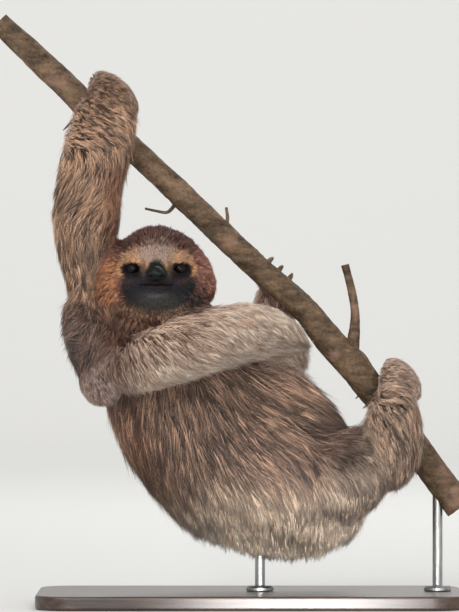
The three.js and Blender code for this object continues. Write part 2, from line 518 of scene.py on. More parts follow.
@dataclass(frozen=True)
class EyeFinish:
    """A wet dark eye under a clear cornea."""

    name: str = "eye"
    roughness: float = 0.06
    gloss: float = 0.18

    def make(self) -> Material:
        """Builds the material.

        Returns:
            The material.
        """
        sheet = Sheet(self.name)
        sheet.wear_tone()
        sheet.set(Roughness=self.roughness, Specular_IOR_Level=self.gloss)
        return sheet.material


@dataclass(frozen=True)
class NoseFinish:
    """Bare, damp, pebbled nose skin."""

    name: str = "nose_skin"
    dark: Way = (3, 5, 5)
    pale: Way = (11, 13, 13)
    mottle_scale: float = 260.0
    pebble_scale: float = 1100.0
    pebble_strength: float = 0.5
    pebble_depth: float = 0.5 * MM
    roughness: float = 0.36
    gloss: float = 0.2

    def make(self) -> Material:
        """Builds the material.

        Returns:
            The material.
        """
        sheet = Sheet(self.name)
        mottle = sheet.grain(self.mottle_scale)
        sheet.stain(mottle.outputs["Fac"], (0.35, self.dark), (0.75, self.pale))
        spots = sheet.put("TexCoord")
        cells = sheet.put("TexVoronoi", Scale=self.pebble_scale)
        sheet.join(spots.outputs["Object"], cells.inputs["Vector"])
        sheet.emboss(cells.outputs["Distance"], self.pebble_strength, self.pebble_depth)
        sheet.set(Roughness=self.roughness, Specular_IOR_Level=self.gloss)
        return sheet.material


@dataclass(frozen=True)
class BarkFinish:
    """Thin brown bark: long streaks, dark cracks, pale scuffs and a little lichen."""

    name: str = "bark"
    dark: Way = (46, 34, 24)
    brown: Way = (82, 64, 46)
    pale: Way = (122, 98, 76)
    scuff: Way = (146, 112, 96)
    lichen: Way = (86, 90, 62)
    slope: float = 44.0
    streak_scale: float = 150.0
    streak_stretch: Way = (0.28, 1.0, 1.0)
    coarse_scale: float = 36.0
    fine_scale: float = 420.0
    stops: Way = (0.76, 0.95, 1.2)
    ramp_end: float = 1.5
    relief_strength: float = 0.8
    relief_depth: float = 1.4 * MM
    roughness: float = 0.72
    gloss: float = 0.3

    def make(self) -> Material:
        """Builds the material.

        Returns:
            The material.
        """
        sheet = Sheet(self.name)
        turned = sheet.put("TexCoord")
        turn = (0.0, math.radians(self.slope), 0.0)
        along = sheet.put("Mapping", Rotation=turn, Scale=self.streak_stretch)
        sheet.join(turned.outputs["Object"], along.inputs["Vector"])
        streak = sheet.put("TexNoise", Scale=self.streak_scale, Detail=6.0, Roughness=0.62)
        sheet.join(along.outputs["Vector"], streak.inputs["Vector"])
        coarse, fine = sheet.grain(self.coarse_scale, 6.0), sheet.grain(self.fine_scale)
        relief = sheet.blend(coarse.outputs["Fac"], 0.6, streak.outputs["Fac"])
        relief = sheet.blend(fine.outputs["Fac"], 0.35, relief)
        tones = zip(self.stops, (self.dark, self.brown, self.pale))
        stops = [(at / self.ramp_end, srgb(*colour)) for at, colour in tones]
        tone = sheet.ramp(relief, stops, 1 / self.ramp_end).outputs["Color"]
        for size, low, colour in ((52.0, 0.58, self.scuff), (40.0, 0.60, self.lichen)):
            spots = sheet.grain(size, 4.0, (1.0, 1.3, 1.0))
            tone = sheet.dab(tone, spots.outputs["Fac"], low, colour, 0.5)
        sheet.join(tone, sheet.shader.inputs["Base Color"])
        sheet.emboss(relief, self.relief_strength, self.relief_depth)
        sheet.set(Roughness=self.roughness, Specular_IOR_Level=self.gloss)
        return sheet.material


@dataclass(frozen=True)
class GrainFinish:
    """Horn, wood or metal: two tones that follow a noise, and a fine relief.

    Each noise is given by its scale, its detail and its stretch along the axes.
    """

    name: str
    dark: Way
    pale: Way
    noise: tuple[float, float, Way]
    stops: tuple[float, float]
    shader: tuple[tuple[str, float], ...]
    relief: tuple[float, float, Way] | None = None
    strength: float = 0.0
    depth: float = 0.0

    def make(self) -> Material:
        """Builds the material.

        Returns:
            The material.
        """
        sheet = Sheet(self.name)
        noise = sheet.grain(*self.noise)
        sheet.stain(noise.outputs["Fac"], (self.stops[0], self.dark), (self.stops[1], self.pale))
        if self.relief is not None:
            relief = noise if self.relief == self.noise else sheet.grain(*self.relief)
            sheet.emboss(relief.outputs["Fac"], self.strength, self.depth)
        sheet.set(**dict(self.shader))
        return sheet.material


EVEN, LENGTHWISE, BRUSHED = (1.0, 1.0, 1.0), (1.0, 9.0, 9.0), (1.0, 1.0, 0.15)
HORN = GrainFinish(
    name="horn",
    dark=(84, 68, 50),
    pale=(158, 138, 106),
    noise=(120.0, 5.0, (1.0, 1.0, 2.5)),
    stops=(0.3, 0.7),
    shader=(("Roughness", 0.38), ("Specular_IOR_Level", 0.5)),
    relief=(500.0, 2.0, EVEN),
    strength=0.25,
    depth=0.3 * MM,
)
SAWN_WOOD = GrainFinish(
    name="sawn_wood",
    dark=(150, 118, 84),
    pale=(206, 178, 140),
    noise=(180.0, 4.0, EVEN),
    stops=(0.3, 0.7),
    shader=(("Roughness", 0.8),),
)
STAINED_WOOD = GrainFinish(
    name="stained_wood",
    dark=(36, 24, 17),
    pale=(74, 50, 35),
    noise=(34.0, 7.0, LENGTHWISE),
    stops=(0.32, 0.68),
    shader=(("Roughness", 0.42), ("Coat_Weight", 0.35), ("Coat_Roughness", 0.25)),
    relief=(160.0, 4.0, LENGTHWISE),
    strength=0.2,
    depth=0.4 * MM,
)
SATIN_STEEL = GrainFinish(
    name="satin_steel",
    dark=(140, 140, 138),
    pale=(178, 178, 176),
    noise=(700.0, 3.0, BRUSHED),
    stops=(0.3, 0.7),
    shader=(("Metallic", 1.0), ("Roughness", 0.34)),
    relief=(700.0, 3.0, BRUSHED),
    strength=0.15,
    depth=0.2 * MM,
)


@dataclass(frozen=True)
class StudioFinish:
    """Matt pale paper for the floor."""

    name: str = "studio_paper"
    tone: Way = (213, 212, 209)
    roughness: float = 0.9
    gloss: float = 0.2

    def make(self) -> Material:
        """Builds the material.

        Returns:
            The material.
        """
        sheet = Sheet(self.name)
        sheet.set(Base_Color=(*srgb(*self.tone), 1.0), Roughness=self.roughness)
        sheet.set(Specular_IOR_Level=self.gloss)
        return sheet.material


# ---- the animal's layout ----
class Part(Enum):
    """The flesh solids, in the order in which their fields are stacked."""

    HEAD = "head"
    NECK = "neck"
    TRUNK = "trunk"
    TAIL = "tail"
    UPPER_ARM_RIGHT = "upper_arm_right"
    FOREARM_RIGHT = "forearm_right"
    HAND_RIGHT = "hand_right"
    UPPER_ARM_LEFT = "upper_arm_left"
    FOREARM_LEFT = "forearm_left"
    HAND_LEFT = "hand_left"
    THIGH_RIGHT = "thigh_right"
    SHANK_RIGHT = "shank_right"
    FOOT_RIGHT = "foot_right"
    THIGH_LEFT = "thigh_left"
    SHANK_LEFT = "shank_left"
    FOOT_LEFT = "foot_left"


PARTS = list(Part)
INDEX = {part: number for number, part in enumerate(PARTS)}
ARM_RIGHT = (Part.FOREARM_RIGHT, Part.UPPER_ARM_RIGHT)
ARM_LEFT = (Part.FOREARM_LEFT, Part.UPPER_ARM_LEFT)
HANDS = (Part.HAND_RIGHT, Part.HAND_LEFT)
FEET = (Part.FOOT_RIGHT, Part.FOOT_LEFT)


@dataclass(frozen=True)
class Lie:
    """How the coat lies over one part: sizes in millimetres, colours of 0 to 255.

    The bias makes its tufts paler or darker on the whole, and the mess turns them off their way.
    """

    depth: float
    length: float
    width: float
    way: Way
    dark: Way
    pale: Way
    bias: float = 0.0
    mess: float = 0.10


LIES = {
    Part.HEAD: Lie(6, 12, 0.42, (0, 0, 0), (60, 42, 36), (132, 100, 82), -0.1, 0.08),
    Part.NECK: Lie(8, 15, 0.46, (0, -0.2, -1), (84, 56, 44), (190, 150, 124), 0.2, 0.14),
    Part.TRUNK: Lie(13, 44, 0.43, (0, 0, -1), (28, 17, 13), (255, 206, 174), -1.6, 0.10),
    Part.TAIL: Lie(6, 13, 0.58, (0.2, 0.8, -0.6), (88, 60, 44), (206, 176, 148)),
    Part.UPPER_ARM_RIGHT: Lie(
        10, 22, 0.50, (-0.45, 0, -1), (32, 21, 18), (158, 120, 100), -1.1, 0.45
    ),
    Part.FOREARM_RIGHT: Lie(8, 21, 0.43, (0, 0, -1), (62, 37, 25), (240, 194, 158), -0.1, 0.18),
    Part.HAND_RIGHT: Lie(4, 9, 0.42, (0.9, -0.1, -0.4), (112, 84, 64), (170, 138, 112), 0.1, 0.05),
    Part.UPPER_ARM_LEFT: Lie(9, 25, 0.44, (0.5, 0, -1), (132, 98, 78), (255, 226, 200), 0.7, 0.12),
    Part.FOREARM_LEFT: Lie(8, 27, 0.43, (1, 0.1, -0.45), (104, 72, 56), (248, 216, 190), 0.3, 0.11),
    Part.HAND_LEFT: Lie(4, 8, 0.42, (0.5, -0.2, -0.8), (108, 86, 78), (198, 172, 160), 0.0, 0.06),
    Part.THIGH_RIGHT: Lie(11, 29, 0.44, (0, 0, -1), (100, 72, 56), (250, 224, 197), 0.7, 0.15),
    Part.SHANK_RIGHT: Lie(8, 21, 0.42, (0.2, 0, -1), (52, 33, 25), (238, 200, 170), -0.1, 0.14),
    Part.FOOT_RIGHT: Lie(4, 9, 0.42, (0.9, -0.1, -0.3), (130, 102, 86), (224, 194, 172), 0.2, 0.05),
    Part.THIGH_LEFT: Lie(10, 22, 0.56, (0.2, 0.2, -1), (60, 38, 27), (220, 184, 152)),
    Part.SHANK_LEFT: Lie(4.5, 9, 0.46, (0, 0.2, -1), (142, 108, 91), (240, 202, 178), 0.3, 0.08),
    Part.FOOT_LEFT: Lie(3, 7, 0.42, (0, 0.3, -1), (142, 108, 91), (240, 202, 178), 0.3, 0.06),
}


@dataclass(frozen=True)
class Face:
    """Places on the face. Heights and distances across are in millimetres from the middle
    between the eyes; the three world values are in metres."""

    middle: float = -0.0737
    eye_up: float = 0.2682
    front: float = -0.066
    eye: float = 18.5
    eye_size: float = 6.2
    eye_bulge: float = 2.8
    lid_half: float = 5.0
    lid_upper: float = 3.3
    lid_under: float = 3.4
    nose_half: float = 8.7
    nose_rise: float = 6.1
    nose_up: float = -3.9
    lip_up: float = -12.4
    lip_half: float = 12.0
    lip_deep: float = 3.6
    chin: float = -25.0
    muzzle: Way = (16.0, 14.0, -9.0)
    zone: Way = (40.0, 43.0, 29.0)
    fine_zone: Way = (28.0, 24.0, 8.0)

    def across(self, places: Array) -> Array:
        """Distances from the middle line, in millimetres."""
        return (places[:, 0] - self.middle) / MM

    def up(self, places: Array) -> Array:
        """Heights above the eyes, in millimetres."""
        return (places[:, 2] - self.eye_up) / MM

    def frontal(self, places: Array) -> Array:
        """1 on the front of the head, 0 on its sides and back."""
        return ease(places[:, 1], -0.036, -0.062)

    def hair(self, places: Array) -> Array:
        """Length of the head's hair: shortest on the muzzle and round the eyes.

        Args:
            places: Places on the head.

        Returns:
            Lengths in millimetres.
        """
        x, z = self.across(places), self.up(places)
        half, rise, up = self.muzzle
        away = np.hypot(x / half, (z - up) / rise)
        shortest, grown, crown = 1.6, 9.6, 11.5
        length = shortest + grown * ease(away, 0.95, 2.7)
        length *= 1 - 0.45 * bump(np.abs(x), z, (self.eye, 1), 8.5, 7.0)
        return crown + (length - crown) * ease(places[:, 1], -0.040, -0.066)

    def groove(self, x: Array) -> Array:
        """Height of the closed mouth's line at distances from the middle."""
        share = np.clip(np.abs(x) / self.lip_half, 0, 1)
        return self.lip_up - 0.6 * share**2 - 0.5 * np.exp(-((x / 1.8) ** 2))

    def lips(self, x: Array, z: Array) -> Array:
        """Finds the bare lower lip under the mouth's line.

        Args:
            x: Distances across the face.
            z: Heights on the face.

        Returns:
            1 on the lip, 0 outside.
        """
        share = np.clip(np.abs(x) / (self.lip_half - 1.5), 0, 1)
        deep = np.maximum(self.lip_deep * np.sqrt(1 - share**2), 0.1)
        gap = self.groove(x) - z
        return ease(gap, -0.4, 0.4) * ease(gap, deep + 0.7, deep - 0.7) * ease(share, 1.0, 0.85)


FACE = Face()


# ---- colours ----
@dataclass(frozen=True)
class Markings:
    """The animal's colours, which skin and coat both take from one place, along with some painted
    shade and light.

    A pair holds a dark root colour and a pale tip colour.
    """

    crown: Way = (92, 59, 50)
    brow: Way = (178, 152, 136)
    brow_side: Way = (188, 148, 116)
    tan: Way = (198, 148, 106)
    mask: Way = (27, 27, 34)
    patch: Way = (13, 10, 13)
    bridge: Way = (25, 31, 24)
    beside: Way = (104, 82, 66)
    side: Way = (156, 110, 94)
    rust: Way = (172, 120, 88)
    throat: Way = (158, 120, 98)
    chin: Way = (86, 86, 76)
    groove: Way = (8, 5, 5)
    lip: Way = (35, 22, 22)
    # Painted highlight: a grey band under the lower lip.
    lip_pale: Way = (92, 90, 96)
    # Colour of painted shade, used in the groin and on the trunk under the right forearm.
    shade: Way = (58, 38, 30)
    # Pale trunk bottom: the hanging tips' own pale colour, made paler still as painted light on the
    # dim underside.
    hem: tuple[Way, Way] = ((226, 196, 164), (255, 244, 222))
    rim: tuple[Way, Way] = ((120, 74, 52), (214, 160, 126))
    inner: tuple[Way, Way] = ((84, 50, 36), (160, 108, 80))
    lit: tuple[Way, Way] = ((198, 160, 136), (255, 240, 220))
    wrist: tuple[Way, Way] = ((72, 52, 42), (142, 108, 91))

    def face(self, places: Array) -> Array:
        """Colours of the head's hair.

        Args:
            places: Places on the head.

        Returns:
            A linear colour for each place.
        """
        x, z = FACE.across(places), FACE.up(places)
        side, front, eye = np.abs(x), FACE.frontal(places), FACE.eye
        top = 22 - 0.0115 * x**2
        band = ease(z, top + 3, top - 4) * ease(z, 1, 5) * ease(side, 33, 27)
        rays = 0.5 * ease(z, 31, 20) * ease(side, 15, 6) * ease(z, 2, 6)
        brow = mix(srgb(*self.brow), srgb(*self.brow_side), ease(side, 9, 20))
        mask = ease(np.hypot((x - 2.0) / 31.0, (z + 14.0) / 19.0), 1.15, 0.85)
        mask = np.maximum(mask, 0.9 * bump(x, z, (33, -26), 8, 8))
        mottle = np.exp(0.22 * waves(places, 0.009, 41) + 0.15 * waves(places, 0.004, 42))
        blush = bump(side, z, (eye + 3.0, -10.0), 4.5, 2.2)
        ring = np.hypot((side - eye - 0.6) / 9.4, (z + 0.2) / np.where(z > 0, 5.4, 7.0))
        high = ease(z - 0.35 * (side - eye), 1.5, 5.5)
        outer = ease(side, eye + 6.5, eye + 10) * ease(z, -8, -3)
        arc = np.exp(-(((ring - 1.26) / 0.28) ** 2)) * np.maximum(high, outer)
        stripe = bump(side, z, (10.2, 1.5), 1.5, 5.0)
        ridge = ease(side - 0.5 * (8.5 - z), 4.6, 1.8) * ease(side, 9.5, 7.5)
        ridge = ridge * ease(z, 10, 5) * ease(z, -8, -4)
        beard = bump(x, z, (0, FACE.chin - 4), 14, 6)
        # Painted highlight: a grey band under the lower lip.
        below = bump(x, z, (-1.0, FACE.lip_up - 10.0), 7.0, 2.6)
        upper = np.exp(-(((z - FACE.groove(x) - 2.0) / 1.3) ** 2)) * ease(side, 11.0, 7.0)
        line = np.exp(-((z - FACE.groove(x)) ** 2))
        line = line * ease(side, FACE.lip_half + 1.5, FACE.lip_half - 0.5)
        marks = (
            (srgb(*self.side), ease(side, 24, 34) * ease(z, 22, 6)),
            (srgb(*self.rust), ease(x, -26, -36) * ease(z, 14, 2)),
            (srgb(*self.throat), ease(z, -26, -34)),
            (brow, front * np.clip(np.maximum(band, rays), 0, 0.95)),
            (srgb(*self.mask) * mottle[:, None], front * np.clip(mask, 0, 1) * ease(z, 5, 1)),
            (srgb(*self.side) * 0.6, front * 0.2 * blush),
            (srgb(*self.tan), front * np.clip(1.1 * arc, 0, 1)),
            (srgb(*self.patch), front * ease(ring, 1.16, 0.86)),
            (srgb(*self.beside), front * np.clip(stripe, 0, 0.8)),
            (srgb(*self.bridge), front * ridge),
            (srgb(*self.chin), front * 0.85 * beard),
            (srgb(*self.lip_pale), front * 0.6 * below),
            (srgb(*self.lip), front * 0.9 * FACE.lips(x, z)),
            (srgb(*self.lip), front * 0.6 * upper),
            (srgb(*self.groove), front * 0.95 * line),
        )
        tone = np.tile(srgb(*self.crown), (len(places), 1))
        for colour, share in marks:
            tone = mix(tone, colour, share)
        return tone

    def base(self, places: Array, weights: Array, pale: bool) -> Array:
        """Dark root colours or pale tip colours over the whole animal, with painted shade and
        painted light.

        Args:
            places: Places on the skin.
            weights: Each place's share in each part.
            pale: True for the tips.

        Returns:
            A linear colour for each place.
        """
        rows = [srgb(*(LIES[part].pale if pale else LIES[part].dark)) for part in PARTS]
        tone = weights @ np.array(rows)
        x, y, z = places.T / MM
        trunk = weights[:, INDEX[Part.TRUNK]]
        fore_right = weights[:, INDEX[Part.FOREARM_RIGHT]]
        fore_left = weights[:, INDEX[Part.FOREARM_LEFT]]
        arm_right = fore_right + weights[:, INDEX[Part.UPPER_ARM_RIGHT]]
        arm_left = fore_left + weights[:, INDEX[Part.UPPER_ARM_LEFT]]
        shade = srgb(*self.shade)
        hand = LIES[Part.HAND_RIGHT]
        # Painted shade in the crease of the groin.
        groin_shade = bump(x, z, (79, 120), 13, 19) * (y < 0)
        rim = trunk * ease(x + 0.62 * z, 22, -16) * ease(z, 60, 90)
        # Painted shadow on the trunk under the right forearm.
        under = trunk * bump(x, z, (-52, 170), 36, 14) * ease(y, 0, -30)
        inner = arm_right * ease(x, -124, -108) * ease(z, 356, 338) * ease(y, -10, -40)
        line = z - (164 + 0.318 * (x + 100))  # height over a line along the left forearm
        lit = arm_left * np.maximum(0.85 * ease(x, -44, 4), 0.95 * ease(line, 20, 6))
        marks = (
            # Pale trunk bottom: partly its own colour, partly painted light on the dim underside.
            (srgb(*self.hem[pale]), 0.95 * (trunk * ease(z, 102, 50))),
            (shade * (0.7, 2.2)[pale], np.clip(1.1 * groin_shade, 0, 0.85)),
            (srgb(*self.rim[pale]), 0.6 * rim),
            # Painted shadow under the right forearm.
            (shade * (0.9, 2.4)[pale], np.clip(0.55 * under, 0, 1)),
            (srgb(*self.inner[pale]), 0.8 * inner),
            (srgb(*(hand.dark, hand.pale)[pale]), 0.9 * (fore_right * ease(z, 386, 408))),
            (srgb(*self.lit[pale]), lit),
            (srgb(*self.wrist[pale]), 0.85 * (fore_left * ease(x, -76, -104))),
        )
        for colour, share in marks:
            tone = mix(tone, colour, share)
        spread = 0.75 + 0.25 * ease(FACE.hair(places), 4, 10)
        head = self.face(places) * (1 + spread * (-0.45, 0.75)[pale])[:, None]
        return mix(tone, head, ease(weights[:, INDEX[Part.HEAD]], 0.35, 0.65))


MARKINGS = Markings()


# ---- skin ----
@dataclass
class Shell:
    """A closed mesh of quads with the sums that smoothing needs."""

    places: Array
    quads: Array

    def __post_init__(self) -> None:
        """Lists each edge once."""
        pairs = np.concatenate([self.quads[:, [k, (k + 1) % 4]] for k in range(4)])
        self.edges = np.unique(np.sort(pairs, axis=1), axis=0)
        count = len(self.places)
        self.degree = np.maximum(np.bincount(self.edges.ravel(), minlength=count), 1)

    def normals(self) -> Array:
        """Works out the vertices' normals.

        Returns:
            Unit normals.
        """
        corner = self.places[self.quads]
        facing = np.cross(corner[:, 2] - corner[:, 0], corner[:, 3] - corner[:, 1])
        total = np.zeros_like(self.places)
        for k in range(4):
            for axis in range(3):
                total[:, axis] += np.bincount(self.quads[:, k], facing[:, axis], len(self.places))
        return unit(total)

    def average(self, values: Array) -> Array:
        """Takes the mean of each vertex's neighbours.

        Args:
            values: One value or row for each vertex.

        Returns:
            The means.
        """
        rows = values if values.ndim == 2 else values[:, None]
        total = np.zeros_like(rows, dtype=float)
        for axis in range(rows.shape[1]):
            for a, b in ((0, 1), (1, 0)):
                there = rows[self.edges[:, b], axis]
                total[:, axis] += np.bincount(self.edges[:, a], there, len(self.places))
        total /= self.degree[:, None]
        return total if values.ndim == 2 else total[:, 0]

    def relax(self, times: int) -> None:
        """Rounds creases off, with a step out after each step in against shrinking.

        Args:
            times: How often.
        """
        step_in, step_out = 0.5, -0.52
        for _ in range(times):
            for share in (step_in, step_out):
                self.places = self.places + share * (self.average(self.places) - self.places)

    def soften(self, values: Array, times: int, share: float = 0.5) -> Array:
        """Smooths values over the mesh.

        Args:
            values: One row for each vertex.
            times: How often.
            share: How far each step goes towards the neighbours' mean.

        Returns:
            The smoothed values.
        """
        for _ in range(times):
            values = values + share * (self.average(values) - values)
        return values


class Surface:
    """The coat's outer surface: the tips of the hair reach it, and the hair runs along it."""

    def __init__(self, shell: Shell, flow: Array, depth: Array) -> None:
        """Keeps the shell's faces for look-ups, with the fields at their middles.

        Args:
            shell: The shell before the skin is taken in.
            flow: The lie of the coat at its vertices.
            depth: The coat's depth at its vertices.
        """
        self.tree = BVHTree.FromPolygons(shell.places.tolist(), shell.quads.tolist())
        self.normal = unit(shell.normals()[shell.quads].mean(axis=1))
        self.flow = unit(flow[shell.quads].mean(axis=1))
        self.depth = depth[shell.quads].mean(axis=1)

    def nearest(self, places: Array) -> tuple[Array, Array]:
        """The nearest places on the surface, and the numbers of their faces."""
        found = [self.tree.find_nearest(row) for row in places.tolist()]
        return np.array([hit[0] for hit in found]), np.array([hit[2] for hit in found])


@dataclass
class Skin:
    """The one skin under the whole coat, and the fields that the coat grows from."""

    finish: Material
    voxel: float = 2.4 * MM
    fuse: float = 0.4 * MM
    steps: int = 8
    relaxed: int = 45
    swell: float = 0.8 * MM
    extra: tuple[str, ...] = ("eye_left", "eye_right", "nose")

    def joined(self) -> Object:
        """Joins swollen copies of the flesh solids, so that their thin cuts close.

        Returns:
            One object with all of them.
        """
        total = bmesh.new()
        for node in [part.value for part in PARTS] + list(self.extra):
            copy = welded(node)
            copy.normal_update()
            for vertex in copy.verts:
                vertex.co += vertex.normal * self.fuse
            mesh = settled("swollen", copy)
            total.from_mesh(mesh)
            bpy.data.meshes.remove(mesh)
        return linked("flesh", settled("flesh", total))

    def fused(self) -> Shell:
        """Remeshes the joined flesh to one shell.

        Returns:
            Its biggest island.
        """
        flesh = self.joined()
        fuse = flesh.modifiers.new("fuse", "REMESH")
        fuse.mode = "VOXEL"
        fuse.voxel_size = self.voxel
        view = bpy.context.evaluated_depsgraph_get()
        mesh = bpy.data.meshes.new_from_object(flesh.evaluated_get(view))
        bpy.data.objects.remove(flesh)
        body = bmesh.new()
        body.from_mesh(mesh)
        bpy.data.meshes.remove(mesh)
        self.keep_biggest(body)
        places = np.array([vertex.co for vertex in body.verts])
        quads = np.array([[vertex.index for vertex in face.verts] for face in body.faces])
        body.free()
        return Shell(places, quads)

    @staticmethod
    def keep_biggest(body: BMesh) -> None:
        """Drops every island of the mesh but the biggest.

        Args:
            body: The mesh.
        """
        body.verts.ensure_lookup_table()
        seen = np.zeros(len(body.verts), dtype=bool)
        islands: list[list[BMVert]] = []
        for start in body.verts:
            if seen[start.index]:
                continue
            seen[start.index] = True
            island, open_list = [], [start]
            while open_list:
                vertex = open_list.pop()
                island.append(vertex)
                for edge in vertex.link_edges:
                    other = edge.other_vert(vertex)
                    if not seen[other.index]:
                        seen[other.index] = True
                        open_list.append(other)
            islands.append(island)
        islands.sort(key=len, reverse=True)
        for island in islands[1:]:
            bmesh.ops.delete(body, geom=island, context="VERTS")
        body.verts.index_update()
        body.verts.ensure_lookup_table()

    def shares(self, shell: Shell) -> Array:
        """Finds each vertex's share in each part, from how near the part's solid is.

        Args:
            shell: The fused shell.

        Returns:
            One row for each vertex, one column for each part.
        """
        reach, blend = 12 * MM, 2.2 * MM
        columns = []
        for part in PARTS:
            low, high = (np.array(corner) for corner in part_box(part.value))
            copy = welded(part.value)
            tree = BVHTree.FromBMesh(copy)
            copy.free()
            outside = np.maximum(np.maximum(low - shell.places, shell.places - high), 0).max(axis=1)
            gap = np.full(len(shell.places), reach)
            for number in np.nonzero(outside < reach)[0]:
                found = tree.find_nearest(Vector(shell.places[number]), reach)
                if found[3] is not None:
                    gap[number] = found[3]
            columns.append(gap)
        gaps = np.stack(columns, axis=1)
        nearest = np.exp(-(gaps - gaps.min(axis=1, keepdims=True)) / blend)
        return shell.soften(nearest / nearest.sum(axis=1, keepdims=True), 10)

    def ways(self, shell: Shell, weights: Array) -> Array:
        """Finds the direction in which the coat's tips lie at each vertex.

        Args:
            shell: The fused shell.
            weights: Each vertex's share in each part.

        Returns:
            Unit vectors along the shell.
        """
        x, _, z = (shell.places / MM).T
        total = np.zeros_like(shell.places)
        for part in PARTS:
            way = np.tile(np.array(LIES[part].way, dtype=float), (len(x), 1))
            if part is Part.HEAD:
                way = unit(shell.places - np.array([FACE.middle, -0.080, FACE.eye_up - 0.007]))
                way[:, 1] += 0.25
                side = np.abs(FACE.across(shell.places))
                way[:, 2] -= 0.6 * ease(side, 20, 34) + 0.25 * ease(z, 262, 240)
            elif part is Part.TRUNK:
                low = 40 + 0.9 * np.maximum(0.0, x - 10)
                slant = 0.95 * ease(x, -90, 55) * ease(z, low, low + 80)
                way[:, 0] = slant
                way[:, 2] = -np.sqrt(1 - slant**2)
                way[:, 1] = 0.9 * ease(z, 78, 46)
            elif part is Part.FOREARM_RIGHT:
                high = ease(z, 342, 372)
                way[:, 0] = 0.95 * high - 0.55 * (1 - high) * ease(z, 285, 322)
                way[:, 2] = -0.5 * high - 0.9 * (1 - high)
            elif part is Part.FOREARM_LEFT:
                way[:, 0] = 0.45 + 0.50 * ease(x, -98, -30)
                way[:, 2] = -np.sqrt(1 - way[:, 0] ** 2)
            elif part is Part.THIGH_RIGHT:
                turn = ease(z, 78, 132)
                way[:, 0], way[:, 2] = 0.25 + 0.75 * turn, -0.95 + 0.45 * turn
            elif part is Part.SHANK_RIGHT:
                turn = ease(z, 110, 180) * ease(x, 132, 118)
                way[:, 0], way[:, 2] = 0.15 + 0.70 * turn, -1 + 0.45 * turn
            elif part is Part.UPPER_ARM_RIGHT:
                way[:, 0] += 0.5 * waves(shell.places, 0.018, 3)
                way[:, 2] += 0.35 * waves(shell.places, 0.018, 4)
            total += unit(way + 1e-9) * weights[:, [INDEX[part]]]
        normal = shell.normals()
        for _ in range(5):
            total = unit(total - normal * (total * normal).sum(axis=1, keepdims=True))
            total = shell.soften(total, 2)
        return unit(total - normal * (total * normal).sum(axis=1, keepdims=True))

    def depths(self, shell: Shell, weights: Array) -> Array:
        """Finds the coat's depth at each vertex.

        Args:
            shell: The fused shell.
            weights: Each vertex's share in each part.

        Returns:
            Depths in metres.
        """
        depth = weights @ np.array([LIES[part].depth for part in PARTS])
        head = ease(weights[:, INDEX[Part.HEAD]], 0.3, 0.7)
        depth = depth * (1 - head) + (1.2 + 0.5 * (FACE.hair(shell.places) - 1.8)) * head
        return shell.soften(depth * MM, 8)

    def build(self) -> Object:
        """Makes the skin, with its fields, and puts it in the scene.

        Returns:
            The skin.
        """
        shell = self.fused()
        shell.relax(self.relaxed)
        LOG.info("fused: %d vertices", len(shell.places))
        weights = self.shares(shell)
        flow = self.ways(shell, weights)
        depth = self.depths(shell, weights)
        bare = [INDEX[part] for part in (Part.HEAD,) + HANDS + FEET]
        body = 1 - ease(weights[:, bare].sum(axis=1), 0.3, 0.7)
        outer = shell.places + shell.normals() * (self.swell * body)[:, None]
        self.surface = Surface(Shell(outer, shell.quads), flow, depth + self.swell * body)
        for _ in range(self.steps):
            shell.places = shell.places - shell.normals() * (depth / self.steps)[:, None]
            shell.places = shell.soften(shell.places, 1, 0.45)
        shell.places = shell.soften(shell.places, 3, 0.5)
        mesh = mesh_of("skin", shell.places, [shell.quads])
        self.keep_fields(mesh, weights, flow, depth, outer)
        self.refine(mesh)
        self.read(mesh)
        self.sculpt()
        reshape(mesh, self.places)
        self.normals = rows_of(mesh.vertex_normals, "vector", 3).astype(float)
        return self.finish_skin(mesh)

    @staticmethod
    def keep_fields(mesh: Mesh, weights: Array, flow: Array, depth: Array, outer: Array) -> None:
        """Stores the fields as attributes, so that a subdivision carries them along.

        Args:
            mesh: The skin's mesh.
            weights: Each vertex's share in each part.
            flow: The lie of the coat.
            depth: The coat's depth.
            outer: Places on the coat's outer surface.
        """
        for number in range(weights.shape[1]):
            layer = mesh.attributes.new(f"share_{number}", "FLOAT", "POINT")
            layer.data.foreach_set("value", weights[:, number].astype(np.float32))
        for name, rows in (("flow", flow), ("outer", outer)):
            layer = mesh.attributes.new(name, "FLOAT_VECTOR", "POINT")
            layer.data.foreach_set("vector", rows.astype(np.float32).ravel())
        layer = mesh.attributes.new("depth", "FLOAT", "POINT")
        layer.data.foreach_set("value", depth.astype(np.float32))

    @staticmethod
    def refine(mesh: Mesh) -> None:
        """Cuts the faces of the face finer, and once more round the eyes and the mouth.

        Args:
            mesh: The skin's mesh.
        """
        half, below, above = FACE.zone
        zones = (FACE.zone, (half - 2, below - 2, above - 2), FACE.fine_zone)
        for half, below, above in zones:
            body = bmesh.new()
            body.from_mesh(mesh)
            chosen = set()
            for cell in body.faces:
                x, y, z = cell.calc_center_median()
                wide = abs(x - FACE.middle) < half * MM
                high = -below < (z - FACE.eye_up) / MM < above
                if wide and high and y < FACE.front + 6 * MM:
                    chosen.update(cell.edges)
            bmesh.ops.subdivide_edges(body, edges=list(chosen), cuts=1, use_grid_fill=True)
            body.to_mesh(mesh)
            body.free()

    def read(self, mesh: Mesh) -> None:
        """Reads the fields back from the mesh's attributes, which it then removes.

        Args:
            mesh: The skin's mesh.
        """
        self.places = rows_of(mesh.vertices, "co", 3).astype(float)
        self.edges = rows_of(mesh.edges, "vertices", 2, np.int32)
        found = {}
        names = [f"share_{number}" for number in range(len(PARTS))] + ["depth", "flow", "outer"]
        for name in names:
            kind, width = ("vector", 3) if name in ("flow", "outer") else ("value", 1)
            found[name] = rows_of(mesh.attributes[name].data, kind, width)
            mesh.attributes.remove(mesh.attributes[name])
        self.weights = np.concatenate([found[name] for name in names[: len(PARTS)]], axis=1)
        self.depth = found["depth"][:, 0]
        self.flow, self.outer = unit(found["flow"].astype(float)), found["outer"].astype(float)

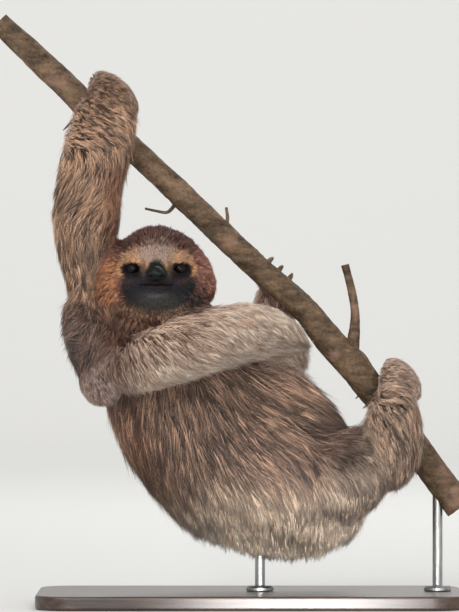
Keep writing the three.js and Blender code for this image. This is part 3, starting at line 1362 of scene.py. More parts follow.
    def sculpt(self) -> None:
        """Shapes sockets, brow, muzzle, mouth and chin on the front of the face, then the lids."""
        self.smooth_face(10)
        x, z = FACE.across(self.places), FACE.up(self.places)
        front = ease(self.places[:, 1], -0.052, -0.066)
        front = front * ease(self.weights[:, INDEX[Part.HEAD]], 0.3, 0.6)
        side, eye = np.abs(x), FACE.eye
        push = 2.0 * bump(side, z, (eye + 0.5, 0.0), 7.0, 5.5)
        push -= 1.8 * bump(side, z, (eye - 1.0, 9.5), 10.0, 3.2)
        push -= 1.0 * bump(side, z, (eye + 2.0, -9.5), 8.0, 3.2)
        push -= 1.7 * bump(side, z, (8.0, -9.5), 4.6, 3.4)
        push -= 2.5 * bump(x, z, (0.0, 2.5), 4.6, 6.0)
        push += 1.0 * bump(side, z, (11.0, 2.0), 2.4, 5.0)
        groove, half = FACE.groove(x), FACE.lip_half
        push += 1.8 * np.exp(-(((z - groove) / 0.9) ** 2)) * ease(side, half + 0.8, half - 1.5)
        push -= 1.0 * np.exp(-(((z - groove + 3.0) / 1.6) ** 2)) * ease(side, 10.5, 6.0)
        push += 0.8 * np.exp(-(((z - groove + 6.8) / 1.4) ** 2)) * ease(side, 10.0, 5.0)
        push -= 0.9 * np.exp(-(((z - groove + 10.2) / 2.0) ** 2)) * ease(side, 11.0, 6.0)
        push += 1.1 * bump(side, z, (half + 1.4, FACE.lip_up - 0.8), 1.4, 1.8)
        cleft = 0.7 * np.exp(-((x / 0.8) ** 2))
        push += cleft * ease(z, FACE.lip_up, FACE.lip_up + 1) * ease(z, -8.5, -10.0)
        push -= 1.2 * bump(x, z, (0.0, FACE.chin - 2), 9.0, 4.0)
        self.places[:, 1] += push * front * MM
        self.eyes = [self.fit_eye(sign, front) for sign in (-1.0, 1.0)]

    def fit_eye(self, sign: float, front: Array) -> Array:
        """Finds how deep an eyeball sits, and lays the lids over it round an almond opening.

        Args:
            sign: -1 for the right eye, 1 for the left one.
            front: How far each vertex belongs to the front of the face.

        Returns:
            The eyeball's centre.
        """
        lid_thick, socket = 0.55, 2.2
        at = np.array([FACE.middle + sign * FACE.eye * MM, FACE.eye_up])
        flat = np.linalg.norm(self.places[:, [0, 2]] - at, axis=1) / MM
        ring = (flat < 8.5) & (flat > 5) & (front > 0.5)
        size = FACE.eye_size
        seat = self.places[ring, 1].mean() + (size - FACE.eye_bulge) * MM
        centre = np.array([at[0], seat, at[1]])
        near = (flat < size + 2.6) & (front > 0.2)
        dx, dz = (self.places[near] - centre)[:, 0] / MM, (self.places[near] - centre)[:, 2] / MM
        far = dx**2 + dz**2
        rise = np.sqrt(np.maximum((size + lid_thick) ** 2 - far, 0.0))
        lid = centre[1] - rise * MM
        tilt = dz - 0.10 * sign * dx
        half = np.where(tilt > 0, FACE.lid_upper, FACE.lid_under)
        height = half * np.sqrt(np.maximum(1 - (dx / FACE.lid_half) ** 2, 0.0))
        inside = ease(np.abs(tilt) - height, 0.25, -0.25) * (np.abs(dx) < FACE.lid_half)
        y = np.where(rise > 0, np.minimum(self.places[near, 1], lid), self.places[near, 1])
        deep = centre[1] - (rise - socket) * MM
        self.places[near, 1] = y * (1 - inside) + deep * inside
        return centre

    def smooth_face(self, times: int) -> None:
        """Smooths the finer faces of the face, to take the steps out of them.

        Args:
            times: How often.
        """
        half, below, above = FACE.zone
        x, z = FACE.across(self.places), FACE.up(self.places)
        zone = (np.abs(x) < half) & (z > -below) & (z < above)
        zone = zone & (self.places[:, 1] < FACE.front + 6 * MM)
        count = len(self.places)
        degree = np.maximum(np.bincount(self.edges.ravel(), minlength=count), 1)[:, None]
        for _ in range(times):
            total = np.zeros_like(self.places)
            for a, b in ((0, 1), (1, 0)):
                for axis in range(3):
                    there = self.places[self.edges[:, b], axis]
                    total[:, axis] += np.bincount(self.edges[:, a], there, count)
            self.places[zone] += 0.5 * (total / degree - self.places)[zone]

    def finish_skin(self, mesh: Mesh) -> Object:
        """Unwraps, colours and places the skin.

        Args:
            mesh: Its mesh.

        Returns:
            The skin.
        """
        tone = MARKINGS.base(self.places, self.weights, False)
        bare = ease(FACE.hair(self.places), 6, 3)
        bare = bare * ease(self.weights[:, INDEX[Part.HEAD]], 0.3, 0.7)
        paint(mesh, mix(tone, MARKINGS.face(self.places), bare))
        self.piece = place("skin", mesh, self.finish, "fur", tuple(part.value for part in PARTS))
        self.unwrap(self.piece)
        return self.piece

    @staticmethod
    def unwrap(skin: Object) -> None:
        """Unwraps the skin's own shape in flat islands.

        Args:
            skin: The skin.
        """
        skin.data.uv_layers.new(name="OFBake")
        bpy.context.view_layer.objects.active = skin
        skin.select_set(True)
        bpy.ops.object.mode_set(mode="EDIT")
        bpy.ops.mesh.select_all(action="SELECT")
        bpy.ops.uv.smart_project(angle_limit=math.radians(66), island_margin=0.002)
        bpy.ops.object.mode_set(mode="OBJECT")
        skin.select_set(False)


# ---- coat ----
class Growth(Enum):
    """The kinds of hair: the outer coat, the darker one under it, and short hair on the skin."""

    OUTER = "outer"
    UNDER = "under"
    SHORT = "short"


@dataclass(frozen=True)
class Patch:
    """One piece of the coat: which parts it covers, how many tufts, and how they gather."""

    name: str
    parts: tuple[Part, ...]
    tufts: int
    seed: int
    lock: float = 4.0
    gather: float = 0.7
    growth: Growth = Growth.OUTER


@dataclass
class Roots:
    """Where the tufts of one patch grow, with the skin's fields there."""

    place: Array
    outer: Array
    normal: Array
    flow: Array
    depth: Array
    weights: Array
    uv: Array

    def kept(self, keep: Array) -> "Roots":
        """The roots that a mask keeps."""
        return Roots(*(getattr(self, name)[keep] for name in Roots.__dataclass_fields__))

    def head(self) -> Array:
        """How far each root belongs to the head."""
        return ease(self.weights[:, INDEX[Part.HEAD]], 0.3, 0.7)

    def of(self, name: str) -> Array:
        """A size of the coat at each root, from the table of the parts."""
        return self.weights @ np.array([getattr(LIES[part], name) for part in PARTS])


@dataclass
class Coat:
    """Grows closed tufts on the skin, each a spindle with a buried root and a fine tip.

    The spreads, reach, stray and lift are the two ends of even draws. Reach is how near a tip
    comes to the coat's outer surface, and stray how far it may stand off it, as shares of the
    coat's depth. Halves share a tuft's length between its two steps. Lift, droop and fall are
    shares of its length, and hang is how strongly hair under the animal hangs down. Streaks are
    the strengths of what differs from lock to lock, from tuft to tuft and from place to place.
    """

    skin: Skin
    finish: Material
    head_finish: Material
    bury: float = 1.0 * MM
    uv_patch: float = 0.003
    short_hair: float = 6.4
    sides: int = 3
    length_spread: tuple[float, float] = (0.6, 1.15)
    width_spread: tuple[float, float] = (0.65, 1.3)
    reach: tuple[float, float] = (0.45, 1.05)
    stray: tuple[float, float] = (0.08, 0.45)
    curl: float = 0.10
    halves: tuple[float, float] = (0.44, 0.56)
    first_rise: float = 0.82
    droop: float = 0.14
    hang: float = 1.1
    fall: float = 0.27
    lift: tuple[float, float] = (0.16, 0.42)
    streaks: Way = (1.1, 0.5, 0.5)
    contrast: float = 2.6
    pale_at: Way = (0.0, 0.75, 1.1)
    jitter: float = 0.6 * MM
    shimmer: float = 0.12

    def __post_init__(self) -> None:
        """Reads the skin's triangles and its unwrap, and finds where its hair is short."""
        mesh, places = self.skin.piece.data, self.skin.places
        mesh.calc_loop_triangles()
        self.corners = rows_of(mesh.loop_triangles, "vertices", 3, np.int32)
        loops = rows_of(mesh.loop_triangles, "loops", 3, np.int32)
        self.uv = rows_of(mesh.uv_layers["OFBake"].uv, "vector", 2)[loops]
        first, second, third = (places[self.corners[:, k]] for k in range(3))
        self.area = np.linalg.norm(np.cross(second - first, third - first), axis=1) / 2
        head = ease(self.skin.weights[:, INDEX[Part.HEAD]], 0.3, 0.7)
        half_way = 0.6
        low, high = self.short_hair - half_way, self.short_hair + half_way
        self.short = head * ease(FACE.hair(places), high, low)

    @staticmethod
    def grows(places: Array) -> Array:
        """Tells where hair grows: not on the nose, in the eyes' openings and on the lips.

        Args:
            places: Places on the skin.

        Returns:
            False where no hair grows.
        """
        x, z = FACE.across(places), FACE.up(places)
        rise = (z - FACE.nose_up) / (FACE.nose_rise + 0.2)
        nose = np.hypot(x / (FACE.nose_half + 0.3), rise) < 1.0
        side = np.abs(x) - FACE.eye
        eye = np.hypot(side / (FACE.lid_half + 0.9), z / (FACE.lid_upper + 0.8)) < 1.0
        gap = FACE.groove(x) - z
        lips = ((np.abs(gap) < 1.3) & (np.abs(x) < FACE.lip_half + 0.4)) | (FACE.lips(x, z) > 0.8)
        return ~((nose | eye | lips) & (places[:, 1] < FACE.front))

    def scatter(self, patch: Patch, rng: np.random.Generator) -> Roots:
        """Picks the roots of one patch.

        Args:
            patch: The patch.
            rng: Seeded random numbers.

        Returns:
            The roots with their fields.
        """
        share = self.skin.weights[:, [INDEX[part] for part in patch.parts]].sum(axis=1)
        if Part.HEAD in patch.parts:
            share = share * (self.short if patch.growth is Growth.SHORT else 1 - self.short)
        chance = self.area * share[self.corners].mean(axis=1)
        spare = 1.3  # more than are kept, because some fall on bare skin
        total = int(patch.tufts * spare)
        triangle = rng.choice(len(chance), size=total, p=chance / chance.sum())
        u, v = rng.random(total), rng.random(total)
        fold = u + v > 1
        u, v = np.where(fold, 1 - u, u), np.where(fold, 1 - v, v)
        parts = np.stack([1 - u - v, u, v], axis=1)[:, :, None]
        corner, skin = self.corners[triangle], self.skin
        roots = Roots(
            (skin.places[corner] * parts).sum(axis=1),
            (skin.outer[corner] * parts).sum(axis=1),
            unit((skin.normals[corner] * parts).sum(axis=1)),
            unit((skin.flow[corner] * parts).sum(axis=1)),
            (skin.depth[corner] * parts[:, :, 0]).sum(axis=1),
            (skin.weights[corner] * parts).sum(axis=1),
            (self.uv[triangle] * parts).sum(axis=1),
        )
        keep = self.grows(roots.place)
        return roots.kept(keep & (np.cumsum(keep) <= patch.tufts))

    def lengths(self, roots: Roots, rng: np.random.Generator) -> Array:
        """Draws the tufts' lengths.

        Args:
            roots: The patch's roots.
            rng: Seeded random numbers.

        Returns:
            Lengths in metres.
        """
        length = roots.of("length")
        length = length * (1 - roots.head()) + FACE.hair(roots.place) * roots.head()
        height = roots.place[:, 2]
        hem = roots.weights[:, INDEX[Part.TRUNK]] * ease(height, 0.085, 0.055)
        wrist = roots.weights[:, INDEX[Part.FOREARM_RIGHT]] * ease(height, 0.376, 0.402)
        length = length * (1 - 0.35 * hem - 0.45 * wrist)
        length = length * MM * rng.uniform(*self.length_spread, len(length))
        return length * (1 + 0.12 * waves(roots.place, 0.03, 5))

    def swing(self, roots: Roots, rng: np.random.Generator) -> Array:
        """Draws how far each tuft turns off the lie of the coat.

        Args:
            roots: The patch's roots.
            rng: Seeded random numbers.

        Returns:
            Angles in radians.
        """
        mess = roots.of("mess")
        wide = 1.3 * waves(roots.place, 0.026, 11) + 0.9 * waves(roots.place, 0.011, 12)
        return mess * (wide + rng.normal(0, 0.9, len(mess)))

    def long_lines(self, roots: Roots, patch: Patch, rng: np.random.Generator) -> Array:
        """Middle lines that run along the coat's outer surface and rise towards it.

        Args:
            roots: The patch's roots.
            patch: The patch.
            rng: Seeded random numbers.

        Returns:
            Three points for each tuft.
        """
        surface = self.skin.surface
        count = len(roots.place)
        length, swing = self.lengths(roots, rng), self.swing(roots, rng)
        reach = np.minimum(rng.uniform(*self.reach, count), 1.0)
        if patch.growth is Growth.UNDER:
            length, reach = 0.7 * length, 0.85 * reach
        loose = rng.random(count) < 0.10 + 0.3 * roots.of("mess")
        stray = loose * rng.uniform(*self.stray, count)
        x, _, z = roots.place.T / MM
        elbow = roots.weights[:, [INDEX[part] for part in ARM_LEFT]].sum(axis=1)
        stray = stray + elbow * bump(x, z, (50, 192), 13, 24) * rng.uniform(0.2, 1.3, count)
        at, number = surface.nearest(roots.outer)
        points = [roots.place - roots.normal * self.bury]
        curl = rng.normal(0, self.curl, count)
        rises = (self.first_rise, 1.0)
        for step, rise, free in zip(self.halves, rises, (0.0, 1.0)):
            normal, flow = surface.normal[number], surface.flow[number]
            across = np.cross(normal, flow)
            way = flow * np.cos(swing)[:, None] + across * np.sin(swing)[:, None]
            at, number = surface.nearest(at + way * (length * step)[:, None])
            swing = swing + curl
            normal, deep = surface.normal[number], surface.depth[number]
            point = at - normal * (deep * (1 - rise * reach - free * stray))[:, None]
            point[:, 2] -= length * self.droop * free * np.clip(-normal[:, 2], 0, 1)
            points.append(point)
        points = self.hung(points, roots, length)
        return np.stack(self.calmed(points, roots, length, surface.depth[number]), axis=1)

    def hung(self, points: list[Array], roots: Roots, length: Array) -> list[Array]:
        """Lets the tips of hair on the animal's underside hang straight down.

        Args:
            points: The middle lines' root, middle and tip.
            roots: The patch's roots.
            length: The tufts' lengths.

        Returns:
            The points.
        """
        under = ease(roots.place[:, 2], 0.120, 0.075)
        hang = roots.normal[:, 2].clip(-1, 0) * -self.hang * under
        fall = points[1] + np.array([0.0, -0.25, -1.0]) * (self.fall * length)[:, None]
        return [points[0], points[1], mix(points[2], fall, np.clip(hang, 0, 0.85))]

    def calmed(
        self, points: list[Array], roots: Roots, length: Array, deep: Array
    ) -> list[Array]:
        """Shortens the lines that leapt over a gap between two limbs.

        Args:
            points: The middle lines' root, middle and tip.
            roots: The patch's roots.
            length: The tufts' lengths.
            deep: The coat's depth at their tips.

        Returns:
            The points.
        """
        root, middle, tip = points
        first = np.linalg.norm(middle - root, axis=1)
        second = np.linalg.norm(tip - middle, axis=1)
        leap = (second > 0.72 * length + 0.5 * deep)[:, None]
        tip = np.where(leap, middle + 0.25 * (middle - root), tip)
        back = (first > 1.35 * np.hypot(self.halves[0] * length, 0.9 * deep))[:, None]
        tip = np.where(back, root + roots.normal * 2 * self.bury, tip)
        return [root, np.where(back, root + roots.normal * self.bury, middle), tip]

    def short_lines(self, roots: Roots, rng: np.random.Generator) -> Array:
        """Middle lines of short hair that leans along the skin.

        Args:
            roots: The patch's roots.
            rng: Seeded random numbers.

        Returns:
            Three points for each tuft.
        """
        count = len(roots.place)
        length, swing = self.lengths(roots, rng), self.swing(roots, rng)
        out = (roots.flow * roots.normal).sum(axis=1, keepdims=True)
        flow = unit(roots.flow - roots.normal * out)
        across = np.cross(roots.normal, flow)
        way = flow * np.cos(swing)[:, None] + across * np.sin(swing)[:, None]
        lift = length * rng.uniform(*self.lift, count)
        points = [roots.place - roots.normal * (0.4 * self.bury)]
        for s in (0.5, 1.0):
            ahead = (length * (0.6 * s + 0.4 * s * s))[:, None]
            rise = (lift * (1.7 * s - 0.7 * s * s))[:, None]
            points.append(roots.place + way * ahead * 0.92 + roots.normal * rise)
        return np.stack(points, axis=1)

    @staticmethod
    def locks(roots: Roots, patch: Patch, rng: np.random.Generator) -> Array:
        """Finds the nearby tuft that leads each tuft's lock.

        Args:
            roots: The patch's roots.
            patch: The patch.
            rng: Seeded random numbers.

        Returns:
            The leaders' numbers.
        """
        count = len(roots.place)
        leaders = rng.choice(count, size=max(2, int(count / patch.lock)), replace=False)
        tree = KDTree(len(leaders))
        for number in leaders:
            tree.insert(roots.place[number].tolist(), int(number))
        tree.balance()
        return np.array([tree.find(row)[1] for row in roots.place.tolist()])

    def grow(self, patch: Patch) -> Object:
        """Makes one patch of the coat.

        Args:
            patch: What it covers and how it gathers.

        Returns:
            The new piece.
        """
        rng = np.random.default_rng(patch.seed)
        roots = self.scatter(patch, rng)
        short = patch.growth is Growth.SHORT
        lines = self.short_lines(roots, rng) if short else self.long_lines(roots, patch, rng)
        lock = self.locks(roots, patch, rng)
        steps = np.linspace(0, 1, lines.shape[1])
        pull = patch.gather * (steps**1.2)[None, :, None]
        lines = lines + (lines[lock] - lines) * pull
        places, faces = self.spindles(lines, roots, patch, rng)
        mesh = mesh_of(patch.name, places, faces)
        paint(mesh, self.tones(lines, roots, lock, patch, rng))
        self.unwrap(mesh, roots.uv)
        finish = self.head_finish if Part.HEAD in patch.parts else self.finish
        return place(patch.name, mesh, finish, "face_fur" if short else "fur")

    def spindles(
        self, lines: Array, roots: Roots, patch: Patch, rng: np.random.Generator
    ) -> tuple[Array, list[Array]]:
        """Wraps a closed three-sided skin round each middle line.

        Args:
            lines: Points of the middle lines, tuft by point: root, middle and tip.
            roots: The tufts' roots.
            patch: The patch.
            rng: Seeded random numbers.

        Returns:
            All vertex places, and the faces as arrays.
        """
        count, sides = len(lines), self.sides
        fine = 0.34 + 0.012 * FACE.hair(roots.place)
        width = (roots.of("width") * (1 - roots.head()) + fine * roots.head()) * MM
        width = width * rng.uniform(*self.width_spread, count)
        if patch.growth is Growth.UNDER:
            width = 0.85 * width
        along = unit(lines[:, 2] - lines[:, 0])
        side = unit(np.cross(along, roots.normal))
        out = np.cross(side, along)
        half = (width * 0.5)[:, None]
        rows = [lines[:, 0]]
        flat, thin = 1.2, 0.7
        for turn in np.radians([90.0, 210.0, 330.0]):
            around = side * math.cos(turn) * flat + out * math.sin(turn) * thin
            rows.append(lines[:, 1] + around * half)
        rows.append(lines[:, 2])
        base = (np.arange(count) * (sides + 2))[:, None]
        wedges = []
        for k in range(sides):
            n = (k + 1) % sides
            wedges.append(base + np.array([[0, 1 + k, 1 + n]]))
            wedges.append(base + np.array([[1 + n, 1 + k, sides + 1]]))
        return np.stack(rows, axis=1).reshape(-1, 3), [np.concatenate(wedges)]

    def tones(
        self,
        lines: Array,
        roots: Roots,
        lock: Array,
        patch: Patch,
        rng: np.random.Generator,
    ) -> Array:
        """Colours of the tufts' vertices: dark roots, pale tips, and streaks from lock to lock.

        Args:
            lines: Points of the middle lines.
            roots: The tufts' roots.
            lock: The number of each tuft's leader.
            patch: The patch.
            rng: Seeded random numbers.

        Returns:
            A linear colour for each vertex.
        """
        seen = 0.5 * (lines[:, 1] + lines[:, 2])
        seen = seen + rng.normal(0, self.jitter, seen.shape)[lock] * roots.head()[:, None]
        dark = MARKINGS.base(seen, roots.weights, False)
        pale = MARKINGS.base(seen, roots.weights, True)
        count = len(dark)
        of_lock, of_tuft, of_place = self.streaks
        streak = rng.normal(0, 1, count)[lock] * of_lock + rng.normal(0, 1, count) * of_tuft
        streak = streak + of_place * waves(roots.place, 0.016, 31)
        bias = roots.of("bias") - (1.3 if patch.growth is Growth.UNDER else 0.0)
        level = 1 / (1 + np.exp(-(bias + self.contrast * streak)))
        share = np.clip(np.array(self.pale_at)[None, :] * level[:, None] + 0.04, 0, 1)
        tone = dark[:, None, :] * (1 - share[:, :, None]) + pale[:, None, :] * share[:, :, None]
        tone = tone * np.exp(self.shimmer * rng.normal(0, 1, (count, 1, 1)))
        return np.repeat(tone, [1, self.sides, 1], axis=1).reshape(-1, 3)

    def unwrap(self, mesh: Mesh, uv: Array) -> None:
        """Gives each tuft a small patch at its root's place on the skin's unwrap.

        Args:
            mesh: The patch's mesh.
            uv: The roots' places on the unwrap.
        """
        size = self.uv_patch
        offsets = [(0.0, -0.5 * size)]
        offsets += [((k / 2.0 - 0.5) * size, 0.0) for k in range(self.sides)]
        offsets.append((0.0, 0.5 * size))
        spots = np.clip(uv[:, None, :] + np.array(offsets)[None, :, :], 0.0, 1.0).reshape(-1, 2)
        index = rows_of(mesh.loops, "vertex_index", 1, np.int32)[:, 0]
        layer = mesh.uv_layers.new(name="OFBake")
        layer.uv.foreach_set("vector", spots[index].astype(np.float32).ravel())


PATCHES = (
    Patch("coat_face", (Part.HEAD,), 28000, 11, lock=5, gather=0.5, growth=Growth.SHORT),
    Patch("coat_head", (Part.HEAD, Part.NECK), 26000, 12, lock=5, gather=0.5),
    Patch("coat_arm_right", ARM_RIGHT, 28000, 13),
    Patch("coat_arm_left", ARM_LEFT, 26000, 14),
    Patch("coat_hands", HANDS + FEET, 22000, 15, gather=0.3),
    Patch("coat_leg_right", (Part.THIGH_RIGHT, Part.SHANK_RIGHT), 23000, 16),
    Patch("coat_leg_left", (Part.THIGH_LEFT, Part.SHANK_LEFT, Part.TAIL), 15000, 17),
    Patch("coat_trunk_a", (Part.TRUNK,), 26000, 18, lock=5, gather=0.74),
    Patch("coat_trunk_b", (Part.TRUNK,), 26000, 19, lock=5, gather=0.74),
    Patch("coat_under", (Part.TRUNK,), 26000, 20, gather=0.4, growth=Growth.UNDER),
)


# ---- eyes, nose and claws ----
@dataclass
class Eyes:
    """Two eyeballs with a dark iris, a pupil and a low cornea."""

    finish: Material
    iris: Way = (17, 10, 8)
    pupil: Way = (4, 4, 4)
    white: Way = (9, 7, 7)
    cornea: float = 0.6 * MM

    def build(self, centres: list[Array]) -> None:
        """Makes both eyeballs, right one first.

        Args:
            centres: Their centres.
        """
        for name, centre in zip(("eye_right", "eye_left"), centres):
            ball = bmesh.new()
            bmesh.ops.create_uvsphere(ball, u_segments=40, v_segments=28, radius=FACE.eye_size * MM)
            for vertex in ball.verts:
                x, y, z = vertex.co
                vertex.co = (x, -z, y)
            mesh = settled(name + "_ball", ball)
            places = np.array([vertex.co for vertex in mesh.vertices])
            off = np.hypot(places[:, 0], places[:, 2]) / (FACE.eye_size * MM)
            front = places[:, 1] < 0
            places[front, 1] -= (self.cornea * ease(off, 0.6, 0.1))[front]
            tone = mix(srgb(*self.white), srgb(*self.iris), ease(off, 0.66, 0.60))
            tone = mix(tone, srgb(*self.pupil), ease(off, 0.36, 0.30))
            tone[~front] = srgb(*self.white)
            smooth_shade(mesh)
            paint(mesh, tone)
            reshape(mesh, places + centre)
            place(name + "_ball", mesh, self.finish, "eye", (name,))


@dataclass
class Nose:
    """The bare nose pad, with two nostrils and a middle groove."""

    finish: Material
    half: Way = (FACE.nose_half, 6.2, FACE.nose_rise)

    def build(self) -> None:
        """Makes the pad where the solid nose is."""
        low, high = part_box("nose")
        seat = (low[1] + high[1]) / 2
        ball = bmesh.new()
        bmesh.ops.create_uvsphere(ball, u_segments=72, v_segments=48, radius=1.0)
        mesh = settled("nose_pad", ball)
        x, y, z = np.array([vertex.co for vertex in mesh.vertices]).T
        wide = 1.0 - 0.36 * ease(z, -0.6, 1.0)
        px = x * self.half[0] * wide
        pz = z * self.half[2]
        py = y * self.half[1] * np.where(y < 0, 1.0, 0.8)
        front = y < -0.1
        nostril = bump(np.abs(px) - 0.15 * (pz + 2), pz, (4.3, -2.6), 1.2, 0.9)
        py = py + np.where(front, 2.8 * nostril, 0.0)
        rim = bump(np.abs(px), pz, (4.4, -0.6), 2.0, 1.2)
        py = py - np.where(front, 0.7 * rim, 0.0)
        groove = 0.8 * np.exp(-((px / 0.7) ** 2)) * ease(pz, 1.0, -3.0)
        py = py + np.where(front, groove, 0.0)
        places = np.stack([px, py, pz], axis=1) * MM
        places += np.array([FACE.middle, seat, FACE.eye_up + FACE.nose_up * MM])
        smooth_shade(mesh)
        reshape(mesh, places)
        place("nose_pad", mesh, self.finish, "nose_skin", ("nose",))


@dataclass
class Claws:
    """The twelve claws, each a smooth copy of its solid."""

    finish: Material
    feet: tuple[str, ...] = ("hand_right", "hand_left", "foot_right", "foot_left")
    cuts: int = 2

    def build(self) -> None:
        """Makes every claw."""
        for foot in self.feet:
            for number in (1, 2, 3):
                self.claw(f"claw_{foot}_{number}")

    def claw(self, node: str) -> None:
        """Smooths one claw's solid into its horn.

        Args:
            node: The solid's name.
        """
        rough = linked("rough_claw", settled(node + "_horn", welded(node)))
        round_off = rough.modifiers.new("round", "SUBSURF")
        round_off.levels = round_off.render_levels = self.cuts
        view = bpy.context.evaluated_depsgraph_get()
        fine = bpy.data.meshes.new_from_object(rough.evaluated_get(view))
        bpy.data.objects.remove(rough)
        smooth_shade(fine)
        place(node + "_horn", fine, self.finish, "horn", (node,))


# ---- perch ----
@dataclass
class Perch:
    """The cut branch: bark grown along its axis by a node tree, with knots and twig stubs."""

    bark: Material
    sawn: Material
    axis: tuple[Way, ...] = (
        (-201, 466, 8.8), (-152, 420, 10.4), (-120, 388, 10.2), (-88, 359, 9.6), (-56, 329, 10.1),
        (-24, 298, 10.2), (8, 268, 10.1), (40, 240, 10.4), (64, 211, 11.6), (88, 184, 12.0),
        (116, 148, 12.0), (144, 110, 11.8), (168, 78, 11.8),
    )
    twig: tuple[Way, ...] = ((80, 190, 7.0), (84, 226, 4.0), (82, 248, 3.4), (76, 272, 3.2))
    bud: tuple[Way, ...] = ((-60, 320, 1.6), (-66, 314, 1.3), (-75, 315, 1.1), (-84, 317, 0.9))
    stalk: tuple[Way, ...] = ((-20, 300, 2.2), (-18, 309, 1.5), (-19, 318, 1.1))
    step: float = 1.4 * MM
    sides: int = 56

    def build(self) -> None:
        """Makes the branch, its twig, its thin side twig and the stub of a leaf stalk."""
        rows = (
            ("perch_bark", self.axis, self.sides, 0.55, ("perch",)),
            ("perch_twig", self.twig, 24, 0.3, ()),
            ("perch_side_twig", self.bud, 12, 0.12, ()),
            ("perch_leaf_stalk", self.stalk, 12, 0.1, ()),
        )
        for name, stations, sides, rough, nodes in rows:
            mesh = self.grown(name, stations, sides, rough)
            if name == "perch_bark":
                self.knot(mesh)
            piece = place(name, mesh, self.bark, "bark", nodes)
            self.ends(piece)

    @staticmethod
    def smooth_row(stations: tuple[Way, ...], count: int) -> Array:
        """Draws a smooth curve through the stations.

        Args:
            stations: The curve's x, z and radius.
            count: How many points it gets.

        Returns:
            One row for each point.
        """
        knots = np.array(stations, dtype=float)
        knots = np.vstack([2 * knots[0] - knots[1], knots, 2 * knots[-1] - knots[-2]])
        spans = len(stations) - 1
        rows = []
        for value in np.linspace(0, spans, count):
            k = min(int(value), spans - 1)
            t = value - k
            a, b, c, d = knots[k : k + 4]
            square, cube = 2 * a - 5 * b + 4 * c - d, 3 * b - a - 3 * c + d
            rows.append(0.5 * (2 * b + (c - a) * t + square * t**2 + cube * t**3))
        return np.array(rows)

    def grown(self, name: str, stations: tuple[Way, ...], sides: int, rough: float) -> Mesh:
        """Grows bark round a curve with a node tree.

        Args:
            name: The mesh's name.
            stations: The curve's x, z and radius, in millimetres.
            sides: Faces round it.
            rough: Height of the bark's relief, in millimetres.

        Returns:
            The plain mesh.
        """
        rows = self.smooth_row(stations, 6 * len(stations))
        curve = bpy.data.curves.new(name + "_axis", "CURVE")
        curve.dimensions = "3D"
        spline = curve.splines.new("POLY")
        spline.points.add(len(rows) - 1)
        for point, (x, z, radius) in zip(spline.points, rows):
            point.co = (x * MM, 0.0, z * MM, 1.0)
            point.radius = radius * MM
        holder = linked(name + "_axis", curve)
        tree = self.tree(name + "_tree")
        grow = holder.modifiers.new("grow", "NODES")
        grow.node_group = tree
        items = tree.interface.items_tree
        sockets = {item.name: item.identifier for item in items if item.in_out == "INPUT"}
        grow[sockets["Step"]] = self.step
        grow[sockets["Sides"]] = sides
        grow[sockets["Relief"]] = rough * MM
        view = bpy.context.evaluated_depsgraph_get()
        mesh = bpy.data.meshes.new_from_object(holder.evaluated_get(view))
        holder.modifiers.remove(grow)
        bpy.data.objects.remove(holder)
        smooth_shade(mesh)
        return mesh

    def tree(self, name: str) -> NodeTree:
        """Builds the node tree: a tube round the curve, with noise pressed into its bark.

        Args:
            name: The tree's name.

        Returns:
            The tree.
        """
        tree = bpy.data.node_groups.new(name, "GeometryNodeTree")
        rows = (("Geometry", "Geometry"), ("Step", "Float"), ("Sides", "Int"), ("Relief", "Float"))
        for socket, kind in rows:
            tree.interface.new_socket(socket, in_out="INPUT", socket_type="NodeSocket" + kind)
        geometry = "NodeSocketGeometry"
        tree.interface.new_socket("Geometry", in_out="OUTPUT", socket_type=geometry)
        start, end = add_node(tree, "NodeGroupInput"), add_node(tree, "NodeGroupOutput")
        resample = add_node(tree, "GeometryNodeResampleCurve")
        resample.mode = "LENGTH"
        ring = add_node(tree, "GeometryNodeCurvePrimitiveCircle", Radius=1.0)
        tube = add_node(tree, "GeometryNodeCurveToMesh", Fill_Caps=True)
        radius = add_node(tree, "GeometryNodeInputRadius")
        coarse = add_node(tree, "ShaderNodeTexNoise", Scale=42.0, Detail=3.0)
        fine = add_node(tree, "ShaderNodeTexNoise", Scale=210.0, Detail=4.0)
        total = self.sum_node(tree, "MULTIPLY_ADD", 0.55)
        centre = self.sum_node(tree, "SUBTRACT", 0.78)
        strong = self.sum_node(tree, "MULTIPLY", 4.0)
        height = self.sum_node(tree, "MULTIPLY", 0.5)
        normal = add_node(tree, "GeometryNodeInputNormal")
        offset = add_node(tree, "ShaderNodeVectorMath")
        offset.operation = "SCALE"
        press = add_node(tree, "GeometryNodeSetPosition")
        real = add_node(tree, "GeometryNodeRealizeInstances")
        dress = add_node(tree, "GeometryNodeSetMaterial", Material=self.bark)
        for source, output, target, socket in (
            (start, "Geometry", resample, "Curve"),
            (start, "Step", resample, "Length"),
            (start, "Sides", ring, "Resolution"),
            (resample, "Curve", tube, "Curve"),
            (ring, "Curve", tube, "Profile Curve"),
            (radius, "Radius", tube, "Scale"),
            (fine, "Fac", total, 0),
            (coarse, "Fac", total, 2),
            (total, "Value", centre, 0),
            (centre, "Value", height, 0),
            (start, "Relief", strong, 0),
            (strong, "Value", height, 1),
            (normal, "Normal", offset, 0),
            (height, "Value", offset, "Scale"),
            (tube, "Mesh", press, "Geometry"),
            (offset, "Vector", press, "Offset"),
            (press, "Geometry", real, "Geometry"),
            (real, "Geometry", dress, "Geometry"),
            (dress, "Geometry", end, "Geometry"),
        ):
            tree.links.new(source.outputs[output], target.inputs[socket])
        return tree

    @staticmethod
    def sum_node(tree: NodeTree, operation: str, second: float) -> Node:
        """Adds a node that reckons with two values.

        Args:
            tree: The node tree.
            operation: What it does.
            second: Its second value.

        Returns:
            The node.
        """
        node = add_node(tree, "ShaderNodeMath")
        node.operation = operation
        node.inputs[1].default_value = second
        return node

